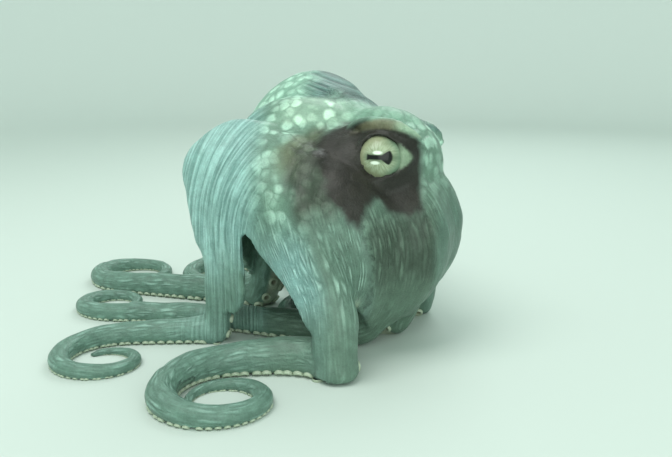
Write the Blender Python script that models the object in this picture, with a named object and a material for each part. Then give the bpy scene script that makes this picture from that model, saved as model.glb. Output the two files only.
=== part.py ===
"""Common octopus, life size, raised on its arms with the web spread.

The animal is shaped whole. Eight tapering arms, the web between them, the head, the nape, the
funnel and the mantle are closed solids that run into each other, and a voxel remesh melts them
into one body. The body is then parted, with a thin clear gap, into the regions and lengths that
a person would name. Everything is designed in millimetres and scaled to metres at the end.

The animal faces +X, turned a little towards -Y. The floor is the plane z = 0.
"""

import math

import bmesh
import bpy
import numpy as np

MILLIMETRE = 0.001

# Arms
ARM_ROOT_RADIUS = 12.5      # half the width of an arm where it leaves the crown
ARM_TIP_RADIUS = 1.7
ARM_TAPER = 0.85            # 1 is a straight cone, less keeps the arm thick for longer
ORAL_DEPTH = 0.75           # the sucker side of an arm is this much flatter than its back
FLOOR_PRESS = 0.7           # how far a resting arm is pressed flat against the floor
LANDING_EASE = 25.0         # length over which an arm settles onto the floor
REST = 1000.0               # as much of the arm as is left

# Head and eyes
FACING = math.radians(-20.0)
HEAD_CENTRE = (31.0, -4.0, 87.0)
HEAD_RADII = (22.0, 25.0, 24.5)         # along the facing direction, to the sides, upwards
EYE_RADIUS = 12.0
EYE_APART = 24.0            # from the middle of the head out to the centre of an eyeball
EYE_HEIGHT = 92.5
EYE_SWING = math.radians(5.0)           # the eyes sit this far behind the widest part of the head
SOCKET_RADII = (16.2, 12.4, 16.2)
SOCKET_INSET = 4.0          # the bulge round an eye is centred this far inside the eyeball's centre

# Crown and nape, as centre and radii
CROWN = ((12, -4, 84), (38, 32, 24))
NAPE = ((-16, 16, 96), (36, 26, 24))
CHEEK = ((38, 0, 74), (16, 22, 22))

# Mantle, from the neck to its blunt end: centre, half width, half height
MANTLE = [
    ((17, 6, 97), 22, 17), ((6, 20, 98), 30, 23), ((-4, 36, 97), 36, 32), ((-11, 54, 94), 39, 38),
    ((-18, 74, 89), 36, 36), ((-24, 92, 83), 27, 28), ((-28, 104, 79), 15, 16), ((-29.5, 108.5, 77.5), 5, 5),
]
MANTLE_PEAK = 1.8           # 2 is a round back, less is more peaked

# Funnel: points along its axis, and half widths there
FUNNEL_AXIS = ((-20, 22, 78), (-38, 28, 72), (-52, 33, 66), (-58, 35, 63))
FUNNEL_RADII = (10.0, 8.5, 6.2, 5.2)
FUNNEL_BORE = 3.2

WEB_THICKNESS = 4.0
GAP = 0.35                  # clear space between neighbouring parts
BODY_VOXEL = 1.25
BODY_SOFTEN = 10
BODY_TRIANGLES = 5600
REGION_TRIANGLES = 240      # the solids that part the body are kept coarse, so the cuts stay simple
SLAB_SIDES = 12
CRUMB = 3.0                 # scraps smaller than this many cubic millimetres are left out
PLAIN_TRIANGLES = 150       # parts with more triangles than this have slivers left by the cuts
CUT_SHARES = (0.65, 0.67, 0.7, 0.75)            # share of the triangles that such a part keeps


def unit(v):
    v = np.asarray(v, float)
    return v / np.linalg.norm(v)


def heading(yaw):
    return np.array([math.cos(yaw), math.sin(yaw), 0.0])


def smoothstep(x):
    x = np.clip(x, 0, 1)
    return x * x * (3 - 2 * x)


def lengths_along(points):
    return np.concatenate([[0], np.cumsum(np.linalg.norm(np.diff(points, axis=0), axis=1))])


def smooth_curve(points, step=1.0):
    """Points about `step` apart on a smooth curve through the given points."""
    p = np.asarray(points, float)
    p = np.vstack([2 * p[0] - p[1], p, 2 * p[-1] - p[-2]])
    out = []
    for a, b, c, d in zip(p, p[1:], p[2:], p[3:]):
        ab, bc, cd = (math.sqrt(np.linalg.norm(v - u)) for u, v in ((a, b), (b, c), (c, d)))
        leave = (c - b) + bc * ((b - a) / ab - (c - a) / (ab + bc))
        arrive = (c - b) + bc * ((d - c) / cd - (d - b) / (bc + cd))
        count = max(2, int(np.linalg.norm(c - b) / step))
        for t in np.linspace(0, 1, count, endpoint=False):
            t2, t3 = t * t, t * t * t
            out.append((2 * t3 - 3 * t2 + 1) * b + (t3 - 2 * t2 + t) * leave
                       + (3 * t2 - 2 * t3) * c + (t3 - t2) * arrive)
    out.append(p[-2])
    return np.array(out)


class Arm:
    """One arm: its raised part runs through a few stations, the rest lies on the floor in arcs."""

    def __init__(self, name, length, stations, landing, arcs, girth=1.0):
        self.name, self.length = name, length
        yaw = math.radians(landing)
        last = np.array(stations[-1], float)
        raised = smooth_curve([*stations, last + 18 * heading(yaw)])
        raised = raised[:np.argmin(np.linalg.norm(raised - last, axis=1)) + 1]
        self.landed = float(lengths_along(raised)[-1])
        points = list(raised)
        left = length - self.landed
        for run, turn, tighten in arcs:
            run = min(run, left)
            left -= run
            count = max(2, int(run))
            for k in range(count):
                # a curl tightens towards the tip
                pace = 1 + tighten * (2 * (k + 0.5) / count - 1)
                yaw += math.radians(turn) * pace / count
                points.append(points[-1] + run / count * heading(yaw))
        points = np.array(points)
        along = lengths_along(points)
        wanted = np.linspace(0, along[-1], int(length / 1.5))
        self.points = np.stack([np.interp(wanted, along, points[:, k]) for k in range(3)], 1)
        self.s = np.linspace(0, length, len(self.points))
        root = ARM_ROOT_RADIUS * girth
        self.radius = ARM_TIP_RADIUS + (root - ARM_TIP_RADIUS) * (1 - self.s / length) ** ARM_TAPER
        self.lay_down()

    def frames(self):
        """Tangent, back and side at each point; the back starts upwards and turns as little as it can."""
        tangent = np.gradient(self.points, axis=0)
        tangent /= np.linalg.norm(tangent, axis=1)[:, None]
        back = np.zeros_like(tangent)
        back[0] = unit(np.array([0, 0, 1.0]) - tangent[0] * tangent[0][2])
        for i in range(1, len(tangent)):
            back[i] = unit(back[i - 1] - tangent[i] * (back[i - 1] @ tangent[i]))
        # once on the floor the back is upright again
        upright = np.array([0, 0, 1.0]) - tangent * tangent[:, 2:3]
        share = smoothstep((self.s - self.landed + 30) / 40)[:, None]
        back = back * (1 - share) + upright * share
        back /= np.linalg.norm(back, axis=1)[:, None]
        self.tangent, self.back = tangent, back
        self.side = np.cross(tangent, back)

    def lay_down(self):
        """Sets the height of what lies on the floor, and eases the raised part onto it."""
        self.frames()
        depth = np.where(self.back[:, 2] < 0, 1.0, ORAL_DEPTH)
        height = self.radius * np.hypot(self.back[:, 2] * depth, self.side[:, 2]) - FLOOR_PRESS
        share = smoothstep((self.s - self.landed + LANDING_EASE) / LANDING_EASE)
        eased = self.points[:, 2] * (1 - share) + height * share
        self.points[:, 2] = np.where(self.s >= self.landed, height, eased)
        self.frames()

    def at(self, s):
        """Index of the point nearest to distance s along the arm."""
        return int(np.clip(round(s / self.length * (len(self.s) - 1)), 0, len(self.s) - 1))

    def ring(self, i, radius, oral_depth, sides):
        out = []
        for k in range(sides):
            angle = 2 * math.pi * k / sides
            up, across = math.cos(angle), math.sin(angle)
            depth = 1.0 if up > 0 else oral_depth
            out.append(self.points[i] + radius * (self.back[i] * up * depth + self.side[i] * across))
        return out

    def solid(self, sides=16, step=2):
        picks = [*range(0, len(self.s) - 1, step), len(self.s) - 1]
        return loft(self.name, [self.ring(i, self.radius[i], ORAL_DEPTH, sides) for i in picks])

    def slab(self, s, reach):
        """Thin disc across the arm, a little wider than the arm."""
        i = self.at(s)
        ring = self.ring(i, self.radius[i] + reach, 1.0, SLAB_SIDES)
        shift = self.tangent[i] * GAP / 2
        return loft("slab", [[p - shift for p in ring], [p + shift for p in ring]])


# name, length, raised stations from crown to floor, heading on the floor, arcs (length, turn, tightening)
ARMS = [
    Arm("arm_r1", 255, [(24, -8, 74), (37, -17, 75), (46, -20, 60), (43, -18, 40), (33, -10, 21), (24, 0, 9)],
        92, [(8, 0, 0), (REST, 450, 0.6)]),
    Arm("arm_r2", 330, [(15, -10, 72), (20, -26, 70), (27, -35, 55), (27, -35, 40), (22, -29, 25),
                        (12, -22, 13), (0, -18, 9)],
        157, [(75, 4, 0), (50, 17, 0), (REST, -415, 0.5)]),
    Arm("arm_r3", 330, [(6, -6, 76), (-9, -24, 84), (-14, -40, 70), (-9.5, -48, 54), (-2.5, -57, 36),
                        (0, -65, 20), (-1, -63, 8)],
        140, [(26, 40, 0), (20, 12, 0), (REST, 460, 0.5)], girth=1.12),
    Arm("arm_r4", 320, [(0, 0, 80), (-24, -2, 94), (-48, -5, 98), (-63.5, -8, 89), (-64, -10, 73),
                        (-61.5, -12, 57), (-57.5, -13, 42), (-57, -14, 24), (-64, -15, 10)],
        182, [(38, 4, 0), (REST, 400, 0.5)]),
    Arm("arm_l1", 300, [(28, 4, 74), (42, 7, 72), (48, 12, 54), (46, 20, 32), (43, 35, 10)],
        83, [(122, -4, 0), (REST, 300, 0.4)]),
    Arm("arm_l2", 310, [(22, 8, 70), (27, 26, 60), (26, 46, 36), (22, 66, 10)],
        86, [(52, 4, 0), (REST, 450, 0.54)]),
    Arm("arm_l3", 292, [(12, 10, 70), (8, 28, 58), (-1, 50, 38), (-14, 72, 10)],
        124, [(44, 0, 0), (REST, 440, 0.54)]),
    Arm("arm_l4", 320, [(4, 6, 72), (-10, 18, 58), (-29, 35, 40), (-47, 49, 10)],
        164, [(82, 0, 0), (REST, -420, 0.5)]),
]
ARM = {arm.name: arm for arm in ARMS}

# Webs: name, the two arms, depth along each, how far the middle balloons outwards, how flush the
# web sits with the backs of the arms (0 is mid arm, 1 is the back), and its free edge as
# (place between the arms, share of the full depth)
WEBS = [
    ("web_r4_r3", "arm_r4", "arm_r3", 138, 113, 5.0, 0.55,
     ((0, 1), (0.15, 0.99), (0.3, 0.95), (0.40, 0.72), (0.46, 0.66), (0.55, 0.72), (0.75, 0.86), (1, 0.97))),
    ("web_r3_r2", "arm_r3", "arm_r2", 96, 84, 8.0, 0.60, ((0, 1), (0.5, 0.90), (1, 1))),
    ("web_r2_r1", "arm_r2", "arm_r1", 84, 80, 7.0, 0.70, ((0, 1), (0.5, 0.94), (1, 1))),
    ("web_r1_l1", "arm_r1", "arm_l1", 80, 73, 8.0, 0.65, ((0, 1), (0.5, 0.88), (1, 1))),
    ("web_l1_l2", "arm_l1", "arm_l2", 74, 72, 7.0, 0.45,
     ((0, 1), (0.25, 0.85), (0.5, 0.80), (0.75, 0.85), (1, 1))),
    ("web_l2_l3", "arm_l2", "arm_l3", 72, 72, 6.0, 0.45,
     ((0, 1), (0.25, 0.83), (0.5, 0.78), (0.75, 0.83), (1, 1))),
    ("web_l3_l4", "arm_l3", "arm_l4", 72, 72, 6.0, 0.45,
     ((0, 1), (0.25, 0.83), (0.5, 0.78), (0.75, 0.83), (1, 1))),
    ("web_l4_r4", "arm_l4", "arm_r4", 84, 108, 6.0, 0.35, ((0, 1), (0.5, 0.90), (1, 1))),
]

# Lengths that an arm is parted into, as shares of what lies beyond its landing
LENGTH_NAMES = ("shoulder", "base", "lower", "middle", "outer", "tip")
LENGTH_SHARES = (0, 0.27, 0.52, 0.76)
LANDING_CLEAR = 14.0        # the first cut is this far beyond the landing
SHOULDER_CUT = {"arm_r4": 76.0, "arm_r3": 72.0}     # arms that arch high have one more cut

SKIN_COLOURS = {
    "mantle": (0.50, 0.60, 0.54), "head": (0.22, 0.22, 0.20), "crown": (0.44, 0.53, 0.47),
    "funnel": (0.55, 0.62, 0.56), "web": (0.36, 0.44, 0.39), "arm": (0.46, 0.55, 0.50),
    "eye": (0.82, 0.84, 0.74),
}


def add_object(name, bm):
    bmesh.ops.recalc_face_normals(bm, faces=bm.faces)
    mesh = bpy.data.meshes.new(name)
    bm.to_mesh(mesh)
    bm.free()
    obj = bpy.data.objects.new(name, mesh)
    bpy.context.scene.collection.objects.link(obj)
    return obj


def loft(name, rings):
    """Closed solid through rings that all have the same number of points, with fans at both ends."""
    bm = bmesh.new()
    grid = [[bm.verts.new(p) for p in ring] for ring in rings]
    sides = len(grid[0])
    for low, high in zip(grid, grid[1:]):
        for k in range(sides):
            n = (k + 1) % sides
            bm.faces.new((low[k], low[n], high[n], high[k]))
    for ring in (grid[0], grid[-1]):
        hub = bm.verts.new(sum((v.co for v in ring[1:]), ring[0].co.copy()) / sides)
        for k in range(sides):
            bm.faces.new((hub, ring[k], ring[(k + 1) % sides]))
    return add_object(name, bm)


def quilt(name, outer, inner):
    """Closed solid between two grids of points of the same size, such as the two faces of a sheet."""
    bm = bmesh.new()
    top, bottom = ([[bm.verts.new(p) for p in row] for row in grid] for grid in (outer, inner))
    rows, cols = len(top), len(top[0])
    for j in range(rows - 1):
        for k in range(cols - 1):
            for g in (top, bottom):
                bm.faces.new((g[j][k], g[j][k + 1], g[j + 1][k + 1], g[j + 1][k]))
    rim = [(0, k) for k in range(cols - 1)] + [(j, cols - 1) for j in range(rows - 1)]
    rim += [(rows - 1, k) for k in range(cols - 1, 0, -1)] + [(j, 0) for j in range(rows - 1, 0, -1)]
    for (j, k), (m, n) in zip(rim, rim[1:] + rim[:1]):
        bm.faces.new((top[j][k], top[m][n], bottom[m][n], bottom[j][k]))
    return add_object(name, bm)


def ellipsoid(name, centre, radii, yaw=0.0, segments=20, rings=12):
    """Ellipsoid whose first radius lies along `yaw` in plan."""
    ahead, up = heading(yaw), np.array([0, 0, 1.0])
    side = np.cross(up, ahead)
    a, b, c = radii
    out = []
    for j in range(1, rings):
        lat = math.pi * j / rings
        ring = []
        for k in range(segments):
            lon = 2 * math.pi * k / segments
            ring.append(np.array(centre) - ahead * a * math.cos(lat)
                        + math.sin(lat) * (side * b * math.cos(lon) + up * c * math.sin(lon)))
        out.append(ring)
    return loft(name, out)


def bag(name, stations, peak, segments=24):
    """Sac through stations (centre, half width, half height); its upper half can be more peaked."""
    nodes = [s[0] for s in stations]
    centres = smooth_curve(nodes, step=6.0)
    marks, along = lengths_along(nodes), lengths_along(centres)
    along *= marks[-1] / along[-1]
    sizes = smooth_curve([(d, s[1], s[2]) for d, s in zip(marks, stations)])
    half_w = np.interp(along, sizes[:, 0], sizes[:, 1])
    half_h = np.interp(along, sizes[:, 0], sizes[:, 2])
    rings = []
    for c, t, w, h in zip(centres, np.gradient(centres, axis=0), half_w, half_h):
        side = unit(np.cross(t, (0, 0, 1)))
        up = np.cross(side, unit(t))
        ring = []
        for k in range(segments):
            angle = 2 * math.pi * k / segments
            x, z = math.cos(angle), math.sin(angle)
            if z > 0:
                x, z = math.copysign(abs(x) ** (2 / peak), x), z ** (2 / peak)
            ring.append(c + side * w * x + up * h * z)
        rings.append(ring)
    return loft(name, rings)


def pipe(name, axis, radii, sides=20):
    """Round solid along an axis whose half width changes from point to point."""
    centres = smooth_curve(axis, step=2.0)
    width = np.interp(lengths_along(centres), lengths_along(axis), radii)
    rings = []
    for c, t, r in zip(centres, np.gradient(centres, axis=0), width):
        side = unit(np.cross(t, (0, 0, 1)))
        up = np.cross(side, unit(t))
        angles = [2 * math.pi * k / sides for k in range(sides)]
        rings.append([c + r * (side * math.cos(a) + up * math.sin(a)) for a in angles])
    return loft(name, rings)


def web_sheet(name, first, second, depth_a, depth_b, balloon, flush, edge, across=22, down=30):
    """Thin closed sheet stretched between two arms, its middle blown outwards."""
    a, b = ARM[first], ARM[second]
    start = 4.0
    g = np.zeros((down + 1, across + 1, 3))
    for j in range(down + 1):
        v = j / down
        for k in range(across + 1):
            u = k / across
            pull = np.interp(u, *zip(*edge))
            ia, ib = a.at(start + v * (depth_a - start) * pull), b.at(start + v * (depth_b - start) * pull)
            pa = a.points[ia] + a.back[ia] * a.radius[ia] * flush
            pb = b.points[ib] + b.back[ib] * b.radius[ib] * flush
            out = unit(a.back[ia] * (1 - u) + b.back[ib] * u)
            arch = balloon * math.sin(math.pi * u) * math.sin(math.pi * (0.15 + 0.75 * v))
            g[j, k] = pa * (1 - u) + pb * u + out * arch
    normal = np.cross(np.gradient(g, axis=1), np.gradient(g, axis=0))
    normal /= np.linalg.norm(normal, axis=2)[:, :, None]
    return quilt(name, g + normal * WEB_THICKNESS / 2, g - normal * WEB_THICKNESS / 2)


def web_region(first, second, depth_a, depth_b, across=10, down=22):
    """Solid that holds the web between two arms and stops short of the arms themselves."""
    a, b = ARM[first], ARM[second]
    start, beyond, waist = 2.0, 9.0, 1.7
    outer, inner = [], []
    for j in range(down + 1):
        v = j / down
        ia = a.at(start + v * (depth_a + beyond - start))
        ib = b.at(start + v * (depth_b + beyond - start))
        ra, rb, pa, pb = a.radius[ia], b.radius[ib], a.points[ia], b.points[ib]
        span = np.linalg.norm(pb - pa)
        # where the arms touch, a narrow waist is left midway
        ua = min(0.92 * ra / span, ra / (ra + rb) - waist / span)
        ub = 1 - min(0.92 * rb / span, rb / (ra + rb) - waist / span)
        above, below = 21 - 8 * v, 14 - 6 * v
        top, bottom = [], []
        for u in np.linspace(ua, ub, across + 1):
            out = unit(a.back[ia] * (1 - u) + b.back[ib] * u)
            middle = pa * (1 - u) + pb * u
            top.append(middle + out * above)
            bottom.append(middle - out * below)
        outer.append(top)
        inner.append(bottom)
    return quilt("region", outer, inner)


def eye_centre(sign):
    """Centre of the right (-1) or left (+1) eyeball."""
    ahead = heading(FACING)
    left = np.array([-ahead[1], ahead[0], 0.0])
    out = left * sign * math.cos(EYE_SWING) - ahead * math.sin(EYE_SWING)
    centre = np.array(HEAD_CENTRE) + out * EYE_APART
    centre[2] = EYE_HEIGHT
    return centre


def socket_bulge(sign):
    inwards = unit(np.array(HEAD_CENTRE) - eye_centre(sign))
    inwards[2] = 0
    return ellipsoid("socket", eye_centre(sign) + inwards * SOCKET_INSET, SOCKET_RADII, FACING)


def drop(obj):
    mesh = obj.data
    bpy.data.objects.remove(obj, do_unlink=True)
    bpy.data.meshes.remove(mesh)


def applied(obj, name):
    """A new object with the mesh that the modifiers of another one give; the other one is removed."""
    mesh = bpy.data.meshes.new_from_object(obj.evaluated_get(bpy.context.evaluated_depsgraph_get()))
    result = bpy.data.objects.new(name, mesh)
    bpy.context.scene.collection.objects.link(result)
    drop(obj)
    result.name = mesh.name = name
    return result


def melt(pieces, name, voxel, soften, triangles):
    """One closed skin round all the given solids, thinned to a number of triangles."""
    bm = bmesh.new()
    for piece in pieces:
        bm.from_mesh(piece.data)
        drop(piece)
    whole = add_object(name, bm)
    remesh = whole.modifiers.new("melt", 'REMESH')
    remesh.mode = 'VOXEL'
    remesh.voxel_size = voxel
    smooth = whole.modifiers.new("soften", 'SMOOTH')
    smooth.factor = 0.5
    smooth.iterations = soften
    whole = applied(whole, name)
    whole.data.calc_loop_triangles()
    thin = whole.modifiers.new("thin", 'DECIMATE')
    thin.ratio = triangles / len(whole.data.loop_triangles)
    thin.use_collapse_triangulate = True
    return applied(whole, name)


def volume(obj):
    bm = bmesh.new()
    bm.from_mesh(obj.data)
    size = abs(bm.calc_volume())
    bm.free()
    return size


def is_closed(obj):
    bm = bmesh.new()
    bm.from_mesh(obj.data)
    closed = all(edge.is_manifold for edge in bm.edges)
    bm.free()
    return closed


def boolean(target, tool, operation, name, keep_target=False):
    """Cuts or keeps what two solids share; the second solver steps in where the first one fails."""
    before, bite = volume(target), volume(tool)
    for solver in ('EXACT', 'MANIFOLD'):
        work = target.copy()
        work.data = target.data.copy()
        bpy.context.scene.collection.objects.link(work)
        cut = work.modifiers.new("cut", 'BOOLEAN')
        cut.operation = operation
        cut.solver = solver
        cut.object = tool
        result = applied(work, name)
        size = volume(result)
        if operation == 'INTERSECT':
            sound = 0 < size <= min(before, bite)
        else:
            sound = before - bite <= size <= before
        if sound and is_closed(result):
            break
        if solver == 'EXACT':
            drop(result)
    if not keep_target:
        drop(target)
    result.name = result.data.name = name
    return result


def islands(obj):
    """The separate closed pieces of an object, largest first; the object is used up."""
    bm = bmesh.new()
    bm.from_mesh(obj.data)
    drop(obj)
    bm.verts.ensure_lookup_table()
    group = [-1] * len(bm.verts)
    count = 0
    for seed in bm.verts:
        if group[seed.index] >= 0:
            continue
        group[seed.index] = count
        stack = [seed]
        while stack:
            for edge in stack.pop().link_edges:
                for v in edge.verts:
                    if group[v.index] < 0:
                        group[v.index] = count
                        stack.append(v)
        count += 1
    found = []
    for k in range(count):
        piece = bm.copy()
        others = [v for v, g in zip(piece.verts, group) if g != k]
        bmesh.ops.delete(piece, geom=others, context='VERTS')
        found.append(add_object("piece", piece))
    bm.free()
    return sorted(found, key=volume, reverse=True)


def largest(obj, name):
    first, *crumbs = islands(obj)
    for crumb in crumbs:
        drop(crumb)
    first.name = first.data.name = name
    return first


def part_off(body, region, name):
    """Takes what a region holds out of the body as its own solid, with a clear gap round it."""
    inside = largest(boolean(body, region, 'INTERSECT', name, keep_target=True), name)
    bm = bmesh.new()
    bm.from_mesh(region.data)
    shifts = []
    for v in bm.verts:
        slant = min(v.normal.dot(face.normal) for face in v.link_faces)
        shifts.append(v.normal * GAP / max(slant, 0.3))
    for v, shift in zip(bm.verts, shifts):
        v.co += shift
    bm.to_mesh(region.data)
    bm.free()
    outside = boolean(body, region, 'DIFFERENCE', "body")
    drop(region)
    return inside, outside


def whole_body():
    solids = [arm.solid() for arm in ARMS]
    solids += [web_sheet(*web) for web in WEBS]
    solids.append(bag("mantle", MANTLE, MANTLE_PEAK))
    solids.append(ellipsoid("head", HEAD_CENTRE, HEAD_RADII, FACING))
    solids += [ellipsoid("mass", centre, radii, FACING) for centre, radii in (CROWN, NAPE, CHEEK)]
    solids += [socket_bulge(sign) for sign in (-1, 1)]
    solids.append(pipe("funnel", FUNNEL_AXIS, FUNNEL_RADII))
    body = melt(solids, "body", BODY_VOXEL, BODY_SOFTEN, BODY_TRIANGLES)
    for v in body.data.vertices:
        v.co.z = max(v.co.z, 0.0)
    return body


def take_eyes(body):
    eyes = []
    for sign, name in ((-1, "eye_right"), (1, "eye_left")):
        socket = ellipsoid("socket", eye_centre(sign), (EYE_RADIUS + GAP,) * 3, FACING)
        body = boolean(body, socket, 'DIFFERENCE', "body")
        drop(socket)
        eyes.append(ellipsoid(name, eye_centre(sign), (EYE_RADIUS,) * 3, FACING))
    return eyes, body


def mantle_region():
    wider = 3.0
    stations = [(centre, w + wider, h + wider) for centre, w, h in MANTLE[2:-2]]
    stations += [(MANTLE[-1][0], 24, 24), ((-31, 116, 76), 12, 12)]
    return bag("region", stations, 1.9)


def funnel_region():
    root, *_, tip = (np.array(p, float) for p in FUNNEL_AXIS[1:])
    along = unit(tip - root)
    return pipe("region", (root - along * 2, root + along * 8, tip + along * 6), (12.5, 12.0, 11.0))


def head_region():
    return ellipsoid("region", (20, -3, 95), (41, 42, 35), FACING)


def crown_region():
    wider = 4.0
    around = ellipsoid("region", (14, -2, 84), (40, 40, 30))
    nape = ellipsoid("region", NAPE[0], [r + wider for r in NAPE[1]], FACING)
    neck = ellipsoid("region", (6, 22, 98), (40, 26, 32))
    cheek = ellipsoid("region", CHEEK[0], [r + 1.5 for r in CHEEK[1]], FACING)
    return melt([around, nape, neck, cheek], "region", 2.0, 4, 2 * REGION_TRIANGLES)


def nearest_arm(piece):
    verts = np.array([v.co[:] for v in piece.data.vertices])
    middle = verts.mean(axis=0)
    arm = min(ARMS, key=lambda a: np.linalg.norm(a.points - middle, axis=1).min())
    nearest = [np.linalg.norm(arm.points - v, axis=1).argmin() for v in verts]
    return arm, float(np.mean(arm.s[nearest]))


def part_arms(body):
    """Cuts the arms across and names each length after its arm and its place along it."""
    pieces = []
    for chunk in islands(body):
        if volume(chunk) < CRUMB:
            drop(chunk)
            continue
        arm, _ = nearest_arm(chunk)
        start = arm.landed + LANDING_CLEAR
        marks = [start + (arm.length - start) * share for share in LENGTH_SHARES]
        if arm.name in SHOULDER_CUT:
            marks.insert(0, SHOULDER_CUT[arm.name])
        names = LENGTH_NAMES[-len(marks) - 1:]
        for s in marks:
            slab = arm.slab(s, 3.5 if s <= start else 1.8)
            chunk = boolean(chunk, slab, 'DIFFERENCE', "chunk")
            drop(slab)
        for piece in islands(chunk):
            if volume(piece) < CRUMB:
                drop(piece)
                continue
            _, place = nearest_arm(piece)
            piece.name = piece.data.name = f"{arm.name}_{names[np.searchsorted(marks, place)]}"
            pieces.append(piece)
    return pieces


def close_slivers(part):
    """Thins out the needless small triangles that the cuts leave, by a share that keeps the part closed."""
    part.data.calc_loop_triangles()
    if part.name.startswith("eye") or len(part.data.loop_triangles) < PLAIN_TRIANGLES:
        return part
    name = part.name
    for share in CUT_SHARES:
        work = part.copy()
        work.data = part.data.copy()
        bpy.context.scene.collection.objects.link(work)
        thin = work.modifiers.new("thin", 'DECIMATE')
        thin.ratio = share
        thin.use_collapse_triangulate = True
        thinned = applied(work, name)
        if is_closed(thinned):
            drop(part)
            thinned.name = thinned.data.name = name
            return thinned
        drop(thinned)
    return part


def clear_of(part, other):
    """Cuts away the little of a part that strays into its neighbour."""
    shared = boolean(part, other, 'INTERSECT', "shared", keep_target=True)
    strays = volume(shared) > 0
    drop(shared)
    name = part.name
    return largest(boolean(part, other, 'DIFFERENCE', name), name) if strays else part


def finish(parts):
    """Own colour, own origin and metres for each part, under one empty that names the animal."""
    corners = np.array([v.co[:] for part in parts for v in part.data.vertices])
    low, high = corners.min(axis=0), corners.max(axis=0)
    origin = np.array([(low[0] + high[0]) / 2, (low[1] + high[1]) / 2, low[2]])
    animal = bpy.data.objects.new("octopus", None)
    bpy.context.scene.collection.objects.link(animal)
    for part in parts:
        verts = part.data.vertices
        middle = np.mean([v.co[:] for v in verts], axis=0)
        for v in verts:
            v.co = (np.array(v.co[:]) - middle) * MILLIMETRE
        part.location = (middle - origin) * MILLIMETRE
        part.parent = animal
        part.data.shade_smooth()
        kind = part.name.split("_")[0]
        skin = bpy.data.materials.new(part.name)
        skin.use_nodes = True
        shader = skin.node_tree.nodes["Principled BSDF"]
        shader.inputs["Base Color"].default_value = (*SKIN_COLOURS[kind], 1)
        shader.inputs["Roughness"].default_value = 0.15 if kind == "eye" else 0.42
        shader.inputs["Metallic"].default_value = 0.0
        part.data.materials.clear()
        part.data.materials.append(skin)


def main():
    for old in list(bpy.data.objects):
        bpy.data.objects.remove(old, do_unlink=True)
    parts, body = take_eyes(whole_body())
    regions = [
        ("mantle", mantle_region), ("funnel", funnel_region), ("head", head_region), ("crown", crown_region)]
    for name, region in regions:
        part, body = part_off(body, region(), name)
        parts.append(part)
    for name, first, second, depth_a, depth_b, *_ in WEBS:
        region = melt([web_region(first, second, depth_a, depth_b)], "region", 1.1, 3, REGION_TRIANGLES)
        part, body = part_off(body, region, name)
        parts.append(part)
    funnel = next(part for part in parts if part.name == "funnel")
    tip, before = np.array(FUNNEL_AXIS[-1], float), np.array(FUNNEL_AXIS[-2], float)
    along = unit(tip - before)
    bore_axis = (tip - along * 11, tip - along * 3, tip + along * 6)
    bore = pipe("bore", bore_axis, (1.5, FUNNEL_BORE, FUNNEL_BORE + 0.6))
    parts.remove(funnel)
    parts.append(boolean(funnel, bore, 'DIFFERENCE', "funnel"))
    drop(bore)
    parts += part_arms(body)
    named = {part.name: part for part in map(close_slivers, parts)}
    for name, *arms, _, _, _, _, _ in WEBS:
        for key in (f"{arm}_{length}" for arm in arms for length in LENGTH_NAMES[:2]):
            if key in named:
                named[key] = clear_of(named[key], named[name])
    finish(list(named.values()))


main()
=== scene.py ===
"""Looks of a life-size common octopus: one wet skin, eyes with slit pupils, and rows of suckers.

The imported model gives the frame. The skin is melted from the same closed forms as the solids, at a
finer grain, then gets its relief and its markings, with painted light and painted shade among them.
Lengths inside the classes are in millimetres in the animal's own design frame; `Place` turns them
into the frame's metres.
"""

from __future__ import annotations

import logging
import math
from collections.abc import Sequence
from dataclasses import dataclass, field
from enum import Enum

import bmesh
import bpy
import numpy as np
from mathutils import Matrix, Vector
from mathutils.bvhtree import BVHTree


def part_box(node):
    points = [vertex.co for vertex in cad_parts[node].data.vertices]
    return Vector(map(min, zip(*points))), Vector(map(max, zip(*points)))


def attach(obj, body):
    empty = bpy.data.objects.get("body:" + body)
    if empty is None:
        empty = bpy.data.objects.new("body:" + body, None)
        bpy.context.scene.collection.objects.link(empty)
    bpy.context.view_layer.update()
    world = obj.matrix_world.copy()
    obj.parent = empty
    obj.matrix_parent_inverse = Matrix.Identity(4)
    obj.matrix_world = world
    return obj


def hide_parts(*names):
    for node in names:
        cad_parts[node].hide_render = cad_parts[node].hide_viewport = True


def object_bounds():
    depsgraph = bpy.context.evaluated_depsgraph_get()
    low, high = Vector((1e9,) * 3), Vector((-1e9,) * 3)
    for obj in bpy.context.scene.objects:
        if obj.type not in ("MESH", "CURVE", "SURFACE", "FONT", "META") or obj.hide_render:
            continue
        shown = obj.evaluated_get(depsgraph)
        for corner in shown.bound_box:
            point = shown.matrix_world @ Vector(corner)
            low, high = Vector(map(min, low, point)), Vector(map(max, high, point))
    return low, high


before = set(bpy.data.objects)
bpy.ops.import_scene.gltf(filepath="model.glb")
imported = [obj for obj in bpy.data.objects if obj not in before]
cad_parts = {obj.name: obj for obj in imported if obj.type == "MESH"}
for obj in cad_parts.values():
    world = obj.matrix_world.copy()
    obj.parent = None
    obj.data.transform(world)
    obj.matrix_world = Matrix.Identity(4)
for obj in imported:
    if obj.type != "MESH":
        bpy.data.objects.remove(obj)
CAD_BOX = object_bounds()
LOG = logging.getLogger("octopus")
MILLIMETRE = 0.001
UP = np.array([0.0, 0.0, 1.0])
REST = 1000.0               # as much of an arm as is left
Array = np.ndarray


class Slot(Enum):
    """Material slots of the record."""

    SKIN = "skin"
    EYE = "eye"


class Side(Enum):
    """Sides of the animal, as the sign of its leftward axis."""

    RIGHT = -1
    LEFT = 1


def unit(v: Sequence[float]) -> Array:
    """Returns the vector scaled to length one."""
    a = np.asarray(v, float)
    return a / np.linalg.norm(a)


def heading(yaw: float) -> Array:
    """Returns the level unit vector at an angle from +X, in radians."""
    return np.array([math.cos(yaw), math.sin(yaw), 0.0])


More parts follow.
